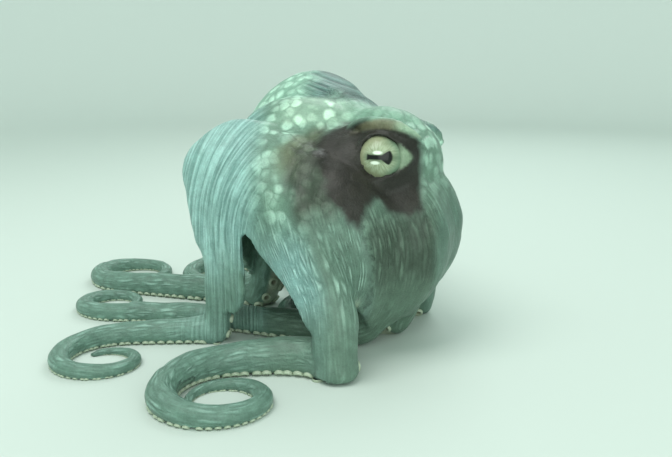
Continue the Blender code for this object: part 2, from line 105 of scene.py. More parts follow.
def smoothstep(x: Array | float, low: float = 0.0, high: float = 1.0) -> Array:
    """Eases from 0 to 1 between two values.

    Args:
        x: Values to ease.
        low: Where the result is 0.
        high: Where the result is 1; it may be below `low`.

    Returns:
        The eased values.
    """
    t = np.clip((np.asarray(x, float) - low) / (high - low), 0, 1)
    return t * t * (3 - 2 * t)


def lengths_along(points: Array) -> Array:
    """Returns the distance along a line of points, at each of them."""
    steps = np.linalg.norm(np.diff(np.asarray(points, float), axis=0), axis=1)
    return np.concatenate([[0], np.cumsum(steps)])


def smooth_curve(points: Sequence[Sequence[float]], step: float = 1.0) -> Array:
    """Runs a smooth curve through points.

    Args:
        points: Points to pass through.
        step: Rough distance between the points returned.

    Returns:
        Points on the curve.
    """
    p = np.asarray(points, float)
    p = np.vstack([2 * p[0] - p[1], p, 2 * p[-1] - p[-2]])
    out = []
    for a, b, c, d in zip(p, p[1:], p[2:], p[3:]):
        ab, bc, cd = (math.sqrt(np.linalg.norm(v - u)) for u, v in ((a, b), (b, c), (c, d)))
        leave = (c - b) + bc * ((b - a) / ab - (c - a) / (ab + bc))
        arrive = (c - b) + bc * ((d - c) / cd - (d - b) / (bc + cd))
        for t in np.linspace(0, 1, max(2, int(np.linalg.norm(c - b) / step)), endpoint=False):
            t2, t3 = t * t, t * t * t
            out.append((2 * t3 - 3 * t2 + 1) * b + (t3 - 2 * t2 + t) * leave
                       + (3 * t2 - 2 * t3) * c + (t3 - t2) * arrive)
    out.append(p[-2])
    return np.array(out)


@dataclass
class Shape:
    """Points and faces of a closed form."""

    verts: Array
    faces: list[tuple[int, ...]]

    @staticmethod
    def loft(rings: Sequence[Sequence[Array]]) -> Shape:
        """Closes rings of equal size into a form with a fan at each end.

        Args:
            rings: Rings of points, from one end to the other.

        Returns:
            The closed form.
        """
        r = np.asarray(rings, float)
        count, sides = r.shape[:2]
        verts = np.vstack([r.reshape(-1, 3), r[0].mean(axis=0), r[-1].mean(axis=0)])
        faces: list[tuple[int, ...]] = []
        for k in range(sides):
            n = (k + 1) % sides
            for j in range(count - 1):
                faces.append((j * sides + k, j * sides + n, (j + 1) * sides + n, (j + 1) * sides + k))
            faces.append((count * sides, n, k))
            faces.append((count * sides + 1, (count - 1) * sides + k, (count - 1) * sides + n))
        return Shape(verts, faces)

    @staticmethod
    def quilt(outer: Array, inner: Array) -> Shape:
        """Closes two grids of points of the same size, such as the two faces of a sheet.

        Args:
            outer: Grid of points of one face.
            inner: Grid of points of the other face.

        Returns:
            The closed form.
        """
        rows, cols = outer.shape[:2]
        half = rows * cols
        faces: list[tuple[int, ...]] = []
        for j in range(rows - 1):
            for k in range(cols - 1):
                a, b, c, d = (j * cols + k, j * cols + k + 1, (j + 1) * cols + k + 1, (j + 1) * cols + k)
                faces += [(a, b, c, d), (half + d, half + c, half + b, half + a)]
        rim = [k for k in range(cols - 1)] + [j * cols + cols - 1 for j in range(rows - 1)]
        rim += [(rows - 1) * cols + k for k in range(cols - 1, 0, -1)]
        rim += [j * cols for j in range(rows - 1, 0, -1)]
        faces += [(b, a, half + a, half + b) for a, b in zip(rim, rim[1:] + rim[:1])]
        return Shape(np.vstack([outer.reshape(-1, 3), inner.reshape(-1, 3)]), faces)

    @staticmethod
    def ellipsoid(centre: Sequence[float], radii: Sequence[float], yaw: float = 0.0) -> Shape:
        """Makes an ellipsoid whose first radius lies along a level direction.

        Args:
            centre: Its centre.
            radii: Half lengths along the direction, sideways and upwards.
            yaw: The direction, in radians from +X.

        Returns:
            The closed form.
        """
        ahead = heading(yaw)
        side = np.cross(UP, ahead)
        turns = np.linspace(0, 2 * math.pi, 40, endpoint=False)
        rings = []
        for lat in np.linspace(0, math.pi, 26)[1:-1]:
            middle = np.asarray(centre) - ahead * radii[0] * math.cos(lat)
            wide, tall = side * radii[1] * math.sin(lat), UP * radii[2] * math.sin(lat)
            rings.append([middle + wide * math.cos(a) + tall * math.sin(a) for a in turns])
        return Shape.loft(rings)

    @staticmethod
    def pipe(axis: Sequence[Sequence[float]], radii: Sequence[float], sides: int = 20) -> Shape:
        """Makes a round form along an axis.

        Args:
            axis: Points that the axis passes through.
            radii: Half width at each of those points.
            sides: Points round each ring.

        Returns:
            The closed form.
        """
        centres = smooth_curve(axis)
        marks, along = lengths_along(np.asarray(axis)), lengths_along(centres)
        width = np.interp(along * marks[-1] / along[-1], marks, radii)
        tangents = np.gradient(centres, axis=0)
        side = unit(np.cross(tangents[0], UP if abs(unit(tangents[0])[2]) < 0.9 else (1, 0, 0)))
        rings = []
        for c, t, r in zip(centres, tangents, width):
            t = unit(t)
            side = unit(side - t * (side @ t))
            up = np.cross(side, t)
            angles = np.linspace(0, 2 * math.pi, sides, endpoint=False)
            rings.append([c + r * (side * math.cos(a) + up * math.sin(a)) for a in angles])
        return Shape.loft(rings)

    @staticmethod
    def join(shapes: Sequence[Shape]) -> Shape:
        """Gathers several forms into one list of points and faces.

        Args:
            shapes: The forms.

        Returns:
            All of them together.
        """
        faces: list[tuple[int, ...]] = []
        base = 0
        for shape in shapes:
            faces += [tuple(i + base for i in face) for face in shape.faces]
            base += len(shape.verts)
        return Shape(np.vstack([shape.verts for shape in shapes]), faces)

    def build(self, name: str) -> bpy.types.Object:
        """Makes a mesh object of the form, its faces pointing out.

        Args:
            name: Name of the object.

        Returns:
            The new object.
        """
        mesh = bpy.data.meshes.new(name)
        mesh.from_pydata(self.verts.tolist(), [], self.faces)
        bm = bmesh.new()
        bm.from_mesh(mesh)
        bmesh.ops.recalc_face_normals(bm, faces=bm.faces)
        bm.to_mesh(mesh)
        bm.free()
        obj = bpy.data.objects.new(name, mesh)
        bpy.context.scene.collection.objects.link(obj)
        return obj


@dataclass
class Arm:
    """One arm: its raised part runs through a few stations, the rest lies on the floor in arcs."""

    name: str
    length: float
    stations: Sequence[Sequence[float]]
    landing: float
    arcs: Sequence[tuple[float, float, float]]
    girth: float = 1.0
    root_radius: float = 12.5
    tip_radius: float = 1.7
    taper: float = 0.85
    oral_depth: float = 0.75
    floor_press: float = 0.7
    landing_ease: float = 25.0
    landed: float = field(init=False)
    points: Array = field(init=False)
    s: Array = field(init=False)
    radius: Array = field(init=False)
    tangent: Array = field(init=False)
    back: Array = field(init=False)
    side: Array = field(init=False)

    def __post_init__(self) -> None:
        """Works out the centre line, the half widths and the frames along the arm."""
        yaw = math.radians(self.landing)
        last = np.array(self.stations[-1], float)
        raised = smooth_curve([*self.stations, last + 18 * heading(yaw)])
        raised = raised[:np.argmin(np.linalg.norm(raised - last, axis=1)) + 1]
        self.landed = float(lengths_along(raised)[-1])
        points = list(raised)
        left = self.length - self.landed
        for run, turn, tighten in self.arcs:
            run = min(run, left)
            left -= run
            count = max(2, int(run))
            for k in range(count):
                pace = 1 + tighten * (2 * (k + 0.5) / count - 1)
                yaw += math.radians(turn) * pace / count
                points.append(points[-1] + run / count * heading(yaw))
        line = np.array(points)
        along = lengths_along(line)
        wanted = np.linspace(0, along[-1], int(self.length / 1.5))
        self.points = np.stack([np.interp(wanted, along, line[:, k]) for k in range(3)], 1)
        self.s = np.linspace(0, self.length, len(self.points))
        span = self.root_radius * self.girth - self.tip_radius
        self.radius = self.tip_radius + span * (1 - self.s / self.length) ** self.taper
        self.turn_frames()
        self.lay_down()
        self.turn_frames()

    def turn_frames(self) -> None:
        """Sets tangent, back and side; the back starts upwards and turns as little as it can."""
        tangent = np.gradient(self.points, axis=0)
        tangent /= np.linalg.norm(tangent, axis=1)[:, None]
        back = np.zeros_like(tangent)
        back[0] = unit(UP - tangent[0] * tangent[0][2])
        for i in range(1, len(tangent)):
            back[i] = unit(back[i - 1] - tangent[i] * (back[i - 1] @ tangent[i]))
        upright = UP - tangent * tangent[:, 2:3]
        share = smoothstep(self.s, self.landed - 30, self.landed + 10)[:, None]
        back = back * (1 - share) + upright * share
        back /= np.linalg.norm(back, axis=1)[:, None]
        self.tangent, self.back, self.side = tangent, back, np.cross(tangent, back)

    def lay_down(self) -> None:
        """Sets the height of what lies on the floor, and eases the raised part onto it."""
        depth = np.where(self.back[:, 2] < 0, 1.0, self.oral_depth)
        height = self.radius * np.hypot(self.back[:, 2] * depth, self.side[:, 2]) - self.floor_press
        share = smoothstep(self.s, self.landed - self.landing_ease, self.landed)
        eased = self.points[:, 2] * (1 - share) + height * share
        self.points[:, 2] = np.where(self.s >= self.landed, height, eased)

    def at(self, s: float) -> int:
        """Returns the index of the point nearest to a distance along the arm."""
        return int(np.clip(round(s / self.length * (len(self.s) - 1)), 0, len(self.s) - 1))

    def shape(self, sides: int = 24) -> Shape:
        """Makes the closed form of the arm.

        Args:
            sides: Points round each ring.

        Returns:
            The closed form.
        """
        rings = []
        for i in range(len(self.s)):
            ring = []
            for k in range(sides):
                up, across = math.cos(2 * math.pi * k / sides), math.sin(2 * math.pi * k / sides)
                depth = 1.0 if up > 0 else self.oral_depth
                aim = self.back[i] * up * depth + self.side[i] * across
                ring.append(self.points[i] + self.radius[i] * aim)
            rings.append(ring)
        return Shape.loft(rings)


@dataclass
class Web:
    """Thin sheet of skin stretched between two arms."""

    name: str
    first: str
    second: str
    depth_first: float
    depth_second: float
    balloon: float
    flush: float
    edge: Sequence[tuple[float, float]]
    thickness: float = 4.0
    start: float = 4.0              # it begins this far along both arms

    def shape(self, arms: dict[str, Arm], across: int = 40, down: int = 60) -> Shape:
        """Makes the closed form of the web.

        Args:
            arms: All arms by name.
            across: Steps from one arm to the other.
            down: Steps from the crown to the free edge.

        Returns:
            The closed form.
        """
        a, b = arms[self.first], arms[self.second]
        g = np.zeros((down + 1, across + 1, 3))
        soft = smooth_curve([(u, p, 0) for u, p in self.edge], step=0.02)
        for k in range(across + 1):
            u = k / across
            pull = float(np.interp(u, soft[:, 0], soft[:, 1]))
            for j in range(down + 1):
                v = j / down
                ia = a.at(self.start + v * (self.depth_first - self.start) * pull)
                ib = b.at(self.start + v * (self.depth_second - self.start) * pull)
                pa = a.points[ia] + a.back[ia] * a.radius[ia] * self.flush
                pb = b.points[ib] + b.back[ib] * b.radius[ib] * self.flush
                out = unit(a.back[ia] * (1 - u) + b.back[ib] * u)
                arch = self.balloon * math.sin(math.pi * u) * math.sin(math.pi * (0.15 + 0.75 * v))
                g[j, k] = pa * (1 - u) + pb * u + out * arch
        normal = np.cross(np.gradient(g, axis=1), np.gradient(g, axis=0))
        normal /= np.linalg.norm(normal, axis=2)[:, :, None]
        return Shape.quilt(g + normal * self.thickness / 2, g - normal * self.thickness / 2)


ARMS = {arm.name: arm for arm in (
    Arm("arm_r1", 255, [(24, -8, 74), (37, -17, 75), (46, -20, 60), (43, -18, 40), (33, -10, 21), (24, 0, 9)],
        92, [(8, 0, 0), (REST, 450, 0.6)]),
    Arm("arm_r2", 330, [(15, -10, 72), (20, -26, 70), (27, -35, 55), (27, -35, 40), (22, -29, 25),
                        (12, -22, 13), (0, -18, 9)],
        157, [(75, 4, 0), (50, 17, 0), (REST, -415, 0.5)]),
    Arm("arm_r3", 330, [(6, -6, 76), (-9, -24, 84), (-14, -40, 70), (-9.5, -48, 54), (-2.5, -57, 36),
                        (0, -65, 20), (-1, -63, 8)],
        140, [(26, 40, 0), (20, 12, 0), (REST, 460, 0.5)], girth=1.12),
    Arm("arm_r4", 320, [(0, 0, 80), (-24, -2, 94), (-48, -5, 98), (-63.5, -8, 89), (-64, -10, 73),
                        (-61.5, -12, 57), (-57.5, -13, 42), (-57, -14, 24), (-64, -15, 10)],
        182, [(38, 4, 0), (REST, 400, 0.5)]),
    Arm("arm_l1", 300, [(28, 4, 74), (42, 7, 72), (48, 12, 54), (46, 20, 32), (43, 35, 10)],
        83, [(122, -4, 0), (REST, 300, 0.4)]),
    Arm("arm_l2", 310, [(22, 8, 70), (27, 26, 60), (26, 46, 36), (22, 66, 10)],
        86, [(52, 4, 0), (REST, 450, 0.54)]),
    Arm("arm_l3", 292, [(12, 10, 70), (8, 28, 58), (-1, 50, 38), (-14, 72, 10)],
        124, [(44, 0, 0), (REST, 440, 0.54)]),
    Arm("arm_l4", 320, [(4, 6, 72), (-10, 18, 58), (-29, 35, 40), (-47, 49, 10)],
        164, [(82, 0, 0), (REST, -420, 0.5)]),
)}

SAGGING = ((0, 1), (0.25, 0.83), (0.5, 0.78), (0.75, 0.83), (1, 1))

WEBS = (
    Web("web_r4_r3", "arm_r4", "arm_r3", 138, 113, 5.0, 0.55,
        ((0, 1), (0.15, 0.99), (0.3, 0.95), (0.40, 0.72), (0.46, 0.66), (0.55, 0.72), (0.75, 0.86),
         (1, 0.97))),
    Web("web_r3_r2", "arm_r3", "arm_r2", 96, 84, 8.0, 0.60, ((0, 1), (0.5, 0.90), (1, 1))),
    Web("web_r2_r1", "arm_r2", "arm_r1", 84, 80, 7.0, 0.70, ((0, 1), (0.5, 0.94), (1, 1))),
    Web("web_r1_l1", "arm_r1", "arm_l1", 80, 73, 8.0, 0.65, ((0, 1), (0.5, 0.88), (1, 1))),
    Web("web_l1_l2", "arm_l1", "arm_l2", 74, 72, 7.0, 0.45,
        ((0, 1), (0.25, 0.85), (0.5, 0.80), (0.75, 0.85), (1, 1))),
    Web("web_l2_l3", "arm_l2", "arm_l3", 72, 72, 6.0, 0.45, SAGGING),
    Web("web_l3_l4", "arm_l3", "arm_l4", 72, 72, 6.0, 0.45, SAGGING),
    Web("web_l4_r4", "arm_l4", "arm_r4", 84, 108, 6.0, 0.35, ((0, 1), (0.5, 0.90), (1, 1))),
)


@dataclass
class Head:
    """Head, with the place of both eyes and the folds of skin round them."""

    facing: float = math.radians(-20.0)
    centre: Sequence[float] = (31.0, -4.0, 87.0)
    radii: Sequence[float] = (22.0, 25.0, 24.5)
    eye_radius: float = 12.0
    eye_apart: float = 24.0
    eye_height: float = 92.5
    eye_swing: float = math.radians(5.0)
    eye_lift: float = 0.10          # the eye's axis rises by this share of its run
    socket_radii: Sequence[float] = (16.2, 12.4, 16.2)
    socket_inset: float = 4.0
    lid_thickness: float = 1.5      # the lids stand this far off the eyeball
    lid_stand: float = 0.6          # and this far off the socket and the face
    lid_depth: float = 3.4          # from their outer to their inner face
    lid_reach: float = 15.5         # they end this far from the eye's axis
    lid_width: float = 4.5          # but are never narrower than this
    lid_flat: float = 0.6           # share of their width before the rim slopes into the head
    lid_slope: float = 1.2
    gap_middle: Sequence[float] = (1.5, 1.0)        # gap between the lids, forwards and upwards of the axis
    gap_half: Sequence[float] = (8.0, 9.6)
    gap_point: float = 6.0          # its front corner is drawn out by this much
    gap_slant: float = 1.2          # and its round back sits this much higher
    brow_route: Sequence[Sequence[float]] = (       # forwards, upwards and outwards of the eye's centre
        (-20, 13, -3), (-11, 16, 1.8), (0, 16.6, 3.4), (9, 14.8, 2.2), (16.5, 10.2, -2.5), (19.5, 4, -9))
    brow_radii: Sequence[float] = (1.6, 2.6, 2.9, 2.9, 2.5, 1.4)
    left_brow: float = 0.8          # the left brow is relaxed to this share

    @property
    def ahead(self) -> Array:
        """Direction that the head faces."""
        return heading(self.facing)

    @property
    def left(self) -> Array:
        """Direction of the animal's left."""
        return np.cross(UP, self.ahead)

    def eye_out(self, side: Side) -> Array:
        """Returns the direction from the middle of the head to an eye."""
        return self.left * side.value * math.cos(self.eye_swing) - self.ahead * math.sin(self.eye_swing)

    def eye_centre(self, side: Side) -> Array:
        """Finds the centre of an eyeball.

        Args:
            side: Which eye.

        Returns:
            The centre.
        """
        centre = np.array(self.centre) + self.eye_out(side) * self.eye_apart
        centre[2] = self.eye_height
        return centre

    def eye_frame(self, side: Side) -> tuple[Array, Array, Array]:
        """Finds the axes of an eye.

        Args:
            side: Which eye.

        Returns:
            Its forward, upward and outward axes.
        """
        out = unit(self.eye_out(side) + UP * self.eye_lift)
        forward = unit(self.ahead - out * (self.ahead @ out))
        return forward, unit(UP - out * out[2]), out

    def opening(self, steps: int = 96) -> Array:
        """Gives the gap between the lids, round behind and drawn out to a corner in front.

        Args:
            steps: Points round the gap.

        Returns:
            Points forwards and upwards of the eye's axis.
        """
        turns = np.linspace(0, 2 * math.pi, steps, endpoint=False)
        ahead, rise = np.cos(turns), np.sin(turns)
        front, back = np.maximum(ahead, 0.0), np.maximum(-ahead, 0.0)
        x = self.gap_middle[0] + (self.gap_half[0] + self.gap_point * front ** 2) * ahead
        y = self.gap_middle[1] + self.gap_half[1] * rise + self.gap_slant * back
        return np.stack([x, y], axis=1)

    def skin_depth(self, x: float, y: float) -> float:
        """Measures how far out the lids' surface lies.

        Args:
            x: Distance forwards of the eye's axis.
            y: Distance above it.

        Returns:
            Distance outwards of the eye's centre.
        """
        reach = math.hypot(x, y)
        over_ball = self.eye_radius + self.lid_thickness
        ball = math.sqrt(max(0.0, over_ball ** 2 - reach ** 2))
        share = min(1.0, reach / self.socket_radii[0])
        socket = self.socket_radii[1] * math.sqrt(1 - share * share) - self.socket_inset
        behind = self.eye_apart * math.sin(self.eye_swing)
        u, v = (x - behind) / self.radii[0], (y + self.eye_height - self.centre[2]) / self.radii[2]
        face = self.radii[1] * math.sqrt(max(0.0, 1 - u * u - v * v)) - self.eye_apart
        return max(ball if reach < over_ball else face,
                   socket + self.lid_stand if share < 1 else face, face + self.lid_stand)

    def lid(self, side: Side, segments: int = 96, steps: int = 6) -> Shape:
        """Makes the lids of one eye as one closed band of skin from the gap out to the socket.

        Args:
            side: Which eye.
            segments: Steps round the gap.
            steps: Points across the band.

        Returns:
            The closed ring.
        """
        forward, up, out = self.eye_frame(side)
        centre = self.eye_centre(side)
        line = self.opening(segments)
        middle = (line.min(axis=0) + line.max(axis=0)) / 2
        rings = []
        for corner in line:
            away = unit(corner - middle) * max(self.lid_width, self.lid_reach - math.hypot(*corner))
            outer = []
            for share in np.linspace(0.0, 1.0, steps):
                x, y = corner + away * share
                depth = self.skin_depth(x, y) - self.lid_slope * max(0.0, share - self.lid_flat)
                outer.append(centre + forward * x + up * y + out * depth)
            rings.append([*outer, *(point - out * self.lid_depth for point in reversed(outer))])
        sides = 2 * steps
        faces: list[tuple[int, ...]] = []
        for j in range(segments):
            here, following = j * sides, (j + 1) % segments * sides
            for k in range(sides):
                n = (k + 1) % sides
                faces.append((here + k, here + n, following + n, following + k))
        return Shape(np.array(rings).reshape(-1, 3), faces)

    def brow(self, side: Side) -> Shape:
        """Makes the heavy fold of skin that overhangs one eye.

        Args:
            side: Which eye.

        Returns:
            The closed form.
        """
        forward, up, out = self.eye_frame(side)
        centre = self.eye_centre(side)
        full = 1.0 if side is Side.RIGHT else self.left_brow
        axis = [centre + forward * x + up * y * full + out * (z * full - 1 + full)
                for x, y, z in self.brow_route]
        return Shape.pipe(axis, [r * full for r in self.brow_radii])

    def shapes(self) -> list[Shape]:
        """Returns all forms of the head."""
        out = [Shape.ellipsoid(self.centre, self.radii, self.facing)]
        for side in Side:
            inwards = unit(np.array(self.centre) - self.eye_centre(side))
            inwards[2] = 0
            bulge = self.eye_centre(side) + inwards * self.socket_inset
            out.append(Shape.ellipsoid(bulge, self.socket_radii, self.facing))
            out += [self.lid(side), self.brow(side)]
        return out


@dataclass
class Trunk:
    """Crown, nape, funnel and mantle."""

    masses: Sequence[tuple[Sequence[float], Sequence[float]]] = (
        ((12, -4, 84), (38, 32, 24)), ((-16, 16, 96), (36, 26, 24)), ((38, 0, 74), (16, 22, 22)),
        ((24, -1, 97), (24, 19, 18.5)))
    mantle: Sequence[tuple[Sequence[float], float, float]] = (
        ((17, 6, 97), 22, 17), ((6, 20, 98), 30, 23), ((-4, 36, 97), 36, 32), ((-11, 54, 94), 39, 38),
        ((-18, 74, 89), 36, 36), ((-24, 92, 83), 27, 28), ((-28, 104, 79), 15, 16),
        ((-29.5, 108.5, 77.5), 5, 5))
    mantle_peak: float = 1.8
    funnel_axis: Sequence[Sequence[float]] = ((-20, 22, 78), (-38, 28, 72), (-52, 33, 66), (-58, 35, 63))
    funnel_radii: Sequence[float] = (10.0, 8.5, 6.2, 5.2)
    funnel_bore: float = 3.2

    def mantle_shape(self, segments: int = 56) -> Shape:
        """Makes the mantle as a sac through its stations, its upper half a little peaked.

        Args:
            segments: Points round each ring.

        Returns:
            The closed form.
        """
        nodes = np.array([s[0] for s in self.mantle], float)
        centres = smooth_curve(nodes, step=3.0)
        marks, along = lengths_along(nodes), lengths_along(centres)
        along *= marks[-1] / along[-1]
        sizes = smooth_curve([(d, s[1], s[2]) for d, s in zip(marks, self.mantle)])
        half_w = np.interp(along, sizes[:, 0], sizes[:, 1])
        half_h = np.interp(along, sizes[:, 0], sizes[:, 2])
        rings = []
        for c, t, w, h in zip(centres, np.gradient(centres, axis=0), half_w, half_h):
            side = unit(np.cross(t, UP))
            up = np.cross(side, unit(t))
            ring = []
            for angle in np.linspace(0, 2 * math.pi, segments, endpoint=False):
                x, z = math.cos(angle), math.sin(angle)
                if z > 0:
                    x, z = math.copysign(abs(x) ** (2 / self.mantle_peak), x), z ** (2 / self.mantle_peak)
                ring.append(c + side * w * x + up * h * z)
            rings.append(ring)
        return Shape.loft(rings)

    def shapes(self, facing: float) -> list[Shape]:
        """Returns all forms of the trunk for a head that faces that way."""
        out = [Shape.ellipsoid(centre, radii, facing) for centre, radii in self.masses]
        return [*out, self.mantle_shape(), Shape.pipe(self.funnel_axis, self.funnel_radii)]


@dataclass
class Place:
    """Turns the design frame's millimetres into the frame's metres."""

    head: Head
    origin: Array = field(init=False)

    def __post_init__(self) -> None:
        """Finds the design frame's origin from where the right eye was packed."""
        low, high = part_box("eye_right")
        middle = (np.array(low) + np.array(high)) / 2
        self.origin = middle - self.head.eye_centre(Side.RIGHT) * MILLIMETRE

    def to_metres(self, points: Array) -> Array:
        """Returns points in the frame's metres."""
        return np.asarray(points) * MILLIMETRE + self.origin

    def inside(self, points: Array) -> Array:
        """Returns points in the frame's metres, kept within the outer box of the parts."""
        low, high = (np.array(corner) for corner in CAD_BOX)
        return np.clip(self.to_metres(points), low, high)


def linear(red: int, green: int, blue: int) -> tuple[float, float, float, float]:
    """Returns a colour given as 0 to 255 display values, as linear values with full alpha."""
    r, g, b = (((c / 255 + 0.055) / 1.055) ** 2.4 if c > 10 else c / 255 / 12.92 for c in (red, green, blue))
    return r, g, b, 1.0


def lattice_noise(points: Array, size: float, seed: int = 0) -> Array:
    """Smooth noise between -1 and 1.

    Args:
        points: Points to read it at.
        size: Size of its largest lumps.
        seed: Chooses one of many patterns.

    Returns:
        One value per point.
    """
    p = points / size
    cell = np.floor(p).astype(np.int64)
    t = p - cell
    t = t * t * (3 - 2 * t)
    total = np.zeros(len(points))
    for corner in np.ndindex(2, 2, 2):
        key = (cell + corner) @ np.array([73856093, 19349663, 83492791]) + seed * 2654435761
        key = (key ^ (key >> 13)) * 1274126177 & 0x7FFFFFFF
        share = np.prod(np.where(np.array(corner) == 1, t, 1 - t), axis=1)
        total += share * (((key ^ (key >> 16)) & 0xFFFF) / 32767.5 - 1)
    return total


def depth_inside(x: Array, y: Array, outline: Sequence[tuple[float, float]]) -> Array:
    """Measures how far points lie inside a closed outline.

    Args:
        x: First coordinate of the points.
        y: Second coordinate.
        outline: Corners of the outline.

    Returns:
        Distance to its border, negative outside.
    """
    nearest = np.full(len(x), np.inf)
    inside = np.zeros(len(x), bool)
    for (x0, y0), (x1, y1) in zip(outline, [*outline[1:], outline[0]]):
        dx, dy = x1 - x0, y1 - y0
        t = np.clip(((x - x0) * dx + (y - y0) * dy) / (dx * dx + dy * dy), 0, 1)
        nearest = np.minimum(nearest, np.hypot(x - x0 - t * dx, y - y0 - t * dy))
        spans = (y0 > y) != (y1 > y)
        inside ^= spans & (x < x0 + dx * (y - y0) / (dy or 1.0))
    return np.where(inside, nearest, -nearest)


@dataclass
class Survey:
    """What each point of the skin knows about its place on the animal; lengths in millimetres."""

    points: Array
    head: Head
    arm_index: Array = field(init=False)
    s: Array = field(init=False)            # distance along the nearest arm
    off: Array = field(init=False)          # distance from its centre line, in half widths
    angle: Array = field(init=False)        # round it, 0 at the back
    aside: Array = field(init=False)        # from it towards +X, in half widths
    share: Array = field(init=False)        # how much each arm is the nearest one, per point and arm
    far: dict[str, Array] = field(init=False)
    along: dict[str, Array] = field(init=False)
    ahead: Array = field(init=False)        # forwards of the nearer eye
    above: Array = field(init=False)
    outside: Array = field(init=False)      # further out than the eye's centre
    gaze: Array = field(init=False)         # forwards, upwards and outwards along the nearer eye's own axes
    right: Array = field(init=False)        # whether the nearer eye is the right one

    def __post_init__(self) -> None:
        """Measures every point against the arms and the head."""
        p = self.points
        self.far, self.along = {}, {}
        best = np.full(len(p), np.inf)
        self.arm_index = np.zeros(len(p), int)
        self.s, self.off, self.angle, self.aside = (np.zeros(len(p)) for _ in range(4))
        for n, (name, arm) in enumerate(ARMS.items()):
            d2 = (p ** 2).sum(1)[:, None] - 2 * p @ arm.points.T + (arm.points ** 2).sum(1)[None]
            i = d2.argmin(axis=1)
            away = p - arm.points[i]
            self.far[name], self.along[name] = np.linalg.norm(away, axis=1), arm.s[i]
            clear = self.far[name] - arm.radius[i]
            nearer = clear < best
            best = np.where(nearer, clear, best)
            self.arm_index = np.where(nearer, n, self.arm_index)
            self.s = np.where(nearer, arm.s[i], self.s)
            self.off = np.where(nearer, self.far[name] / arm.radius[i], self.off)
            angle = np.arctan2((away * arm.side[i]).sum(1), (away * arm.back[i]).sum(1))
            self.angle = np.where(nearer, angle, self.angle)
            self.aside = np.where(nearer, away[:, 0] / arm.radius[i], self.aside)
        clear = np.stack([self.far[name] - np.interp(self.along[name], arm.s, arm.radius)
                          for name, arm in ARMS.items()])
        pull = np.exp(-(clear - clear.min(axis=0)) / 2.5)
        self.share = pull / pull.sum(axis=0)
        lateral = (p - np.array(self.head.centre)) @ self.head.left
        right, left = self.head.eye_centre(Side.RIGHT), self.head.eye_centre(Side.LEFT)
        rel = p - np.where((lateral < 0)[:, None], right, left)
        self.ahead = rel @ self.head.ahead
        self.above = rel[:, 2]
        self.outside = np.abs(lateral) - self.head.eye_apart
        self.right = lateral < 0
        axes = [np.stack(self.head.eye_frame(side), 1) for side in (Side.RIGHT, Side.LEFT)]
        self.gaze = np.where(self.right[:, None], rel @ axes[0], rel @ axes[1])

    def far_nearest(self) -> Array:
        """Returns the distance from each point to the centre line of its nearest arm."""
        return np.choose(self.arm_index, [self.far[name] for name in ARMS])

    def near(self, *names: str) -> Array:
        """Returns how much the named arms are the nearest ones, from 0 to 1."""
        order = list(ARMS)
        return self.share[[order.index(name) for name in names]].sum(axis=0)


@dataclass(frozen=True)
class Look:
    """Display colours and pattern strengths of one zone of the skin."""

    light: tuple[int, int, int]     # raised spots and streaks
    dark: tuple[int, int, int]      # grooves between them
    cells: float = 0.0              # net of round spots
    streaks: float = 0.0            # streaks that run along the arms
    lines: float = 0.0              # fine pleat lines


class Zone(Enum):
    """Zones of the skin and their looks; a few of them are painted light and painted shade."""

    BODY = Look((174, 212, 192), (98, 130, 112), cells=0.9)
    ARM = Look((146, 182, 168), (90, 120, 106), cells=0.1, streaks=0.8)
    WEB = Look((122, 156, 138), (76, 104, 90), cells=0.25, streaks=0.6)
    BULB = Look((100, 122, 106), (50, 63, 52), cells=0.1, streaks=0.75)
    BULB_LOW = Look((122, 148, 132), (78, 102, 86), streaks=0.7)
    BULB_FRONT = Look((112, 144, 130), (72, 98, 86), streaks=0.5)
    REACHING_ARM = Look((158, 192, 176), (86, 112, 98), streaks=0.95)
    # painted light: the left side of the reaching arm, a paler copy of its look
    REACHING_ARM_LIT = Look((192, 234, 228), (120, 158, 154), streaks=0.9)
    REACHING_ARM_END = Look((112, 140, 124), (78, 102, 88), streaks=0.5)
    FLAP = Look((168, 210, 204), (108, 148, 142), lines=0.95)
    # painted shade: the lower part of the spread web, darker
    FLAP_LOW = Look((112, 144, 126), (72, 98, 82), lines=0.6)
    # painted light: a paler copy of the web along its rim at the rear arm, where the light falls
    FLAP_RIM = Look((176, 216, 210), (132, 172, 166), lines=0.95)
    # painted shade: the dark seam where the reaching arm meets the bulb
    SEAM = Look((84, 106, 94), (58, 76, 66), streaks=0.15)
    MANTLE = Look((190, 232, 210), (122, 164, 144), cells=0.85)
    MANTLE_SHADED = Look((94, 134, 126), (56, 86, 82), cells=0.1, lines=0.85)
    MANTLE_EDGE = Look((102, 146, 134), (70, 106, 98), lines=0.5)
    HEAD_TOP = Look((136, 176, 154), (88, 124, 106), cells=0.4)
    NAPE = Look((206, 242, 216), (128, 160, 140), cells=0.9)
    OCHRE = Look((132, 140, 100), (80, 82, 54), cells=0.7)
    CHEEK = Look((82, 92, 78), (50, 57, 47), cells=0.5, streaks=0.3)
    # painted shadow: dusky skin behind and below the eye
    MASK = Look((45, 44, 38), (30, 30, 28), cells=0.25)
    # painted shade: the dark crease between the eye and the brow that overhangs it
    CREASE = Look((46, 46, 40), (32, 32, 30), cells=0.1)
    BROW = Look((132, 130, 104), (90, 88, 70), cells=0.3)
    BROW_FRONT = Look((172, 206, 178), (116, 146, 124), cells=0.5)
    EYE_CORNER = Look((136, 158, 132), (96, 112, 90))
    MOUTH_SIDE = Look((186, 196, 172), (138, 144, 124), cells=0.3)


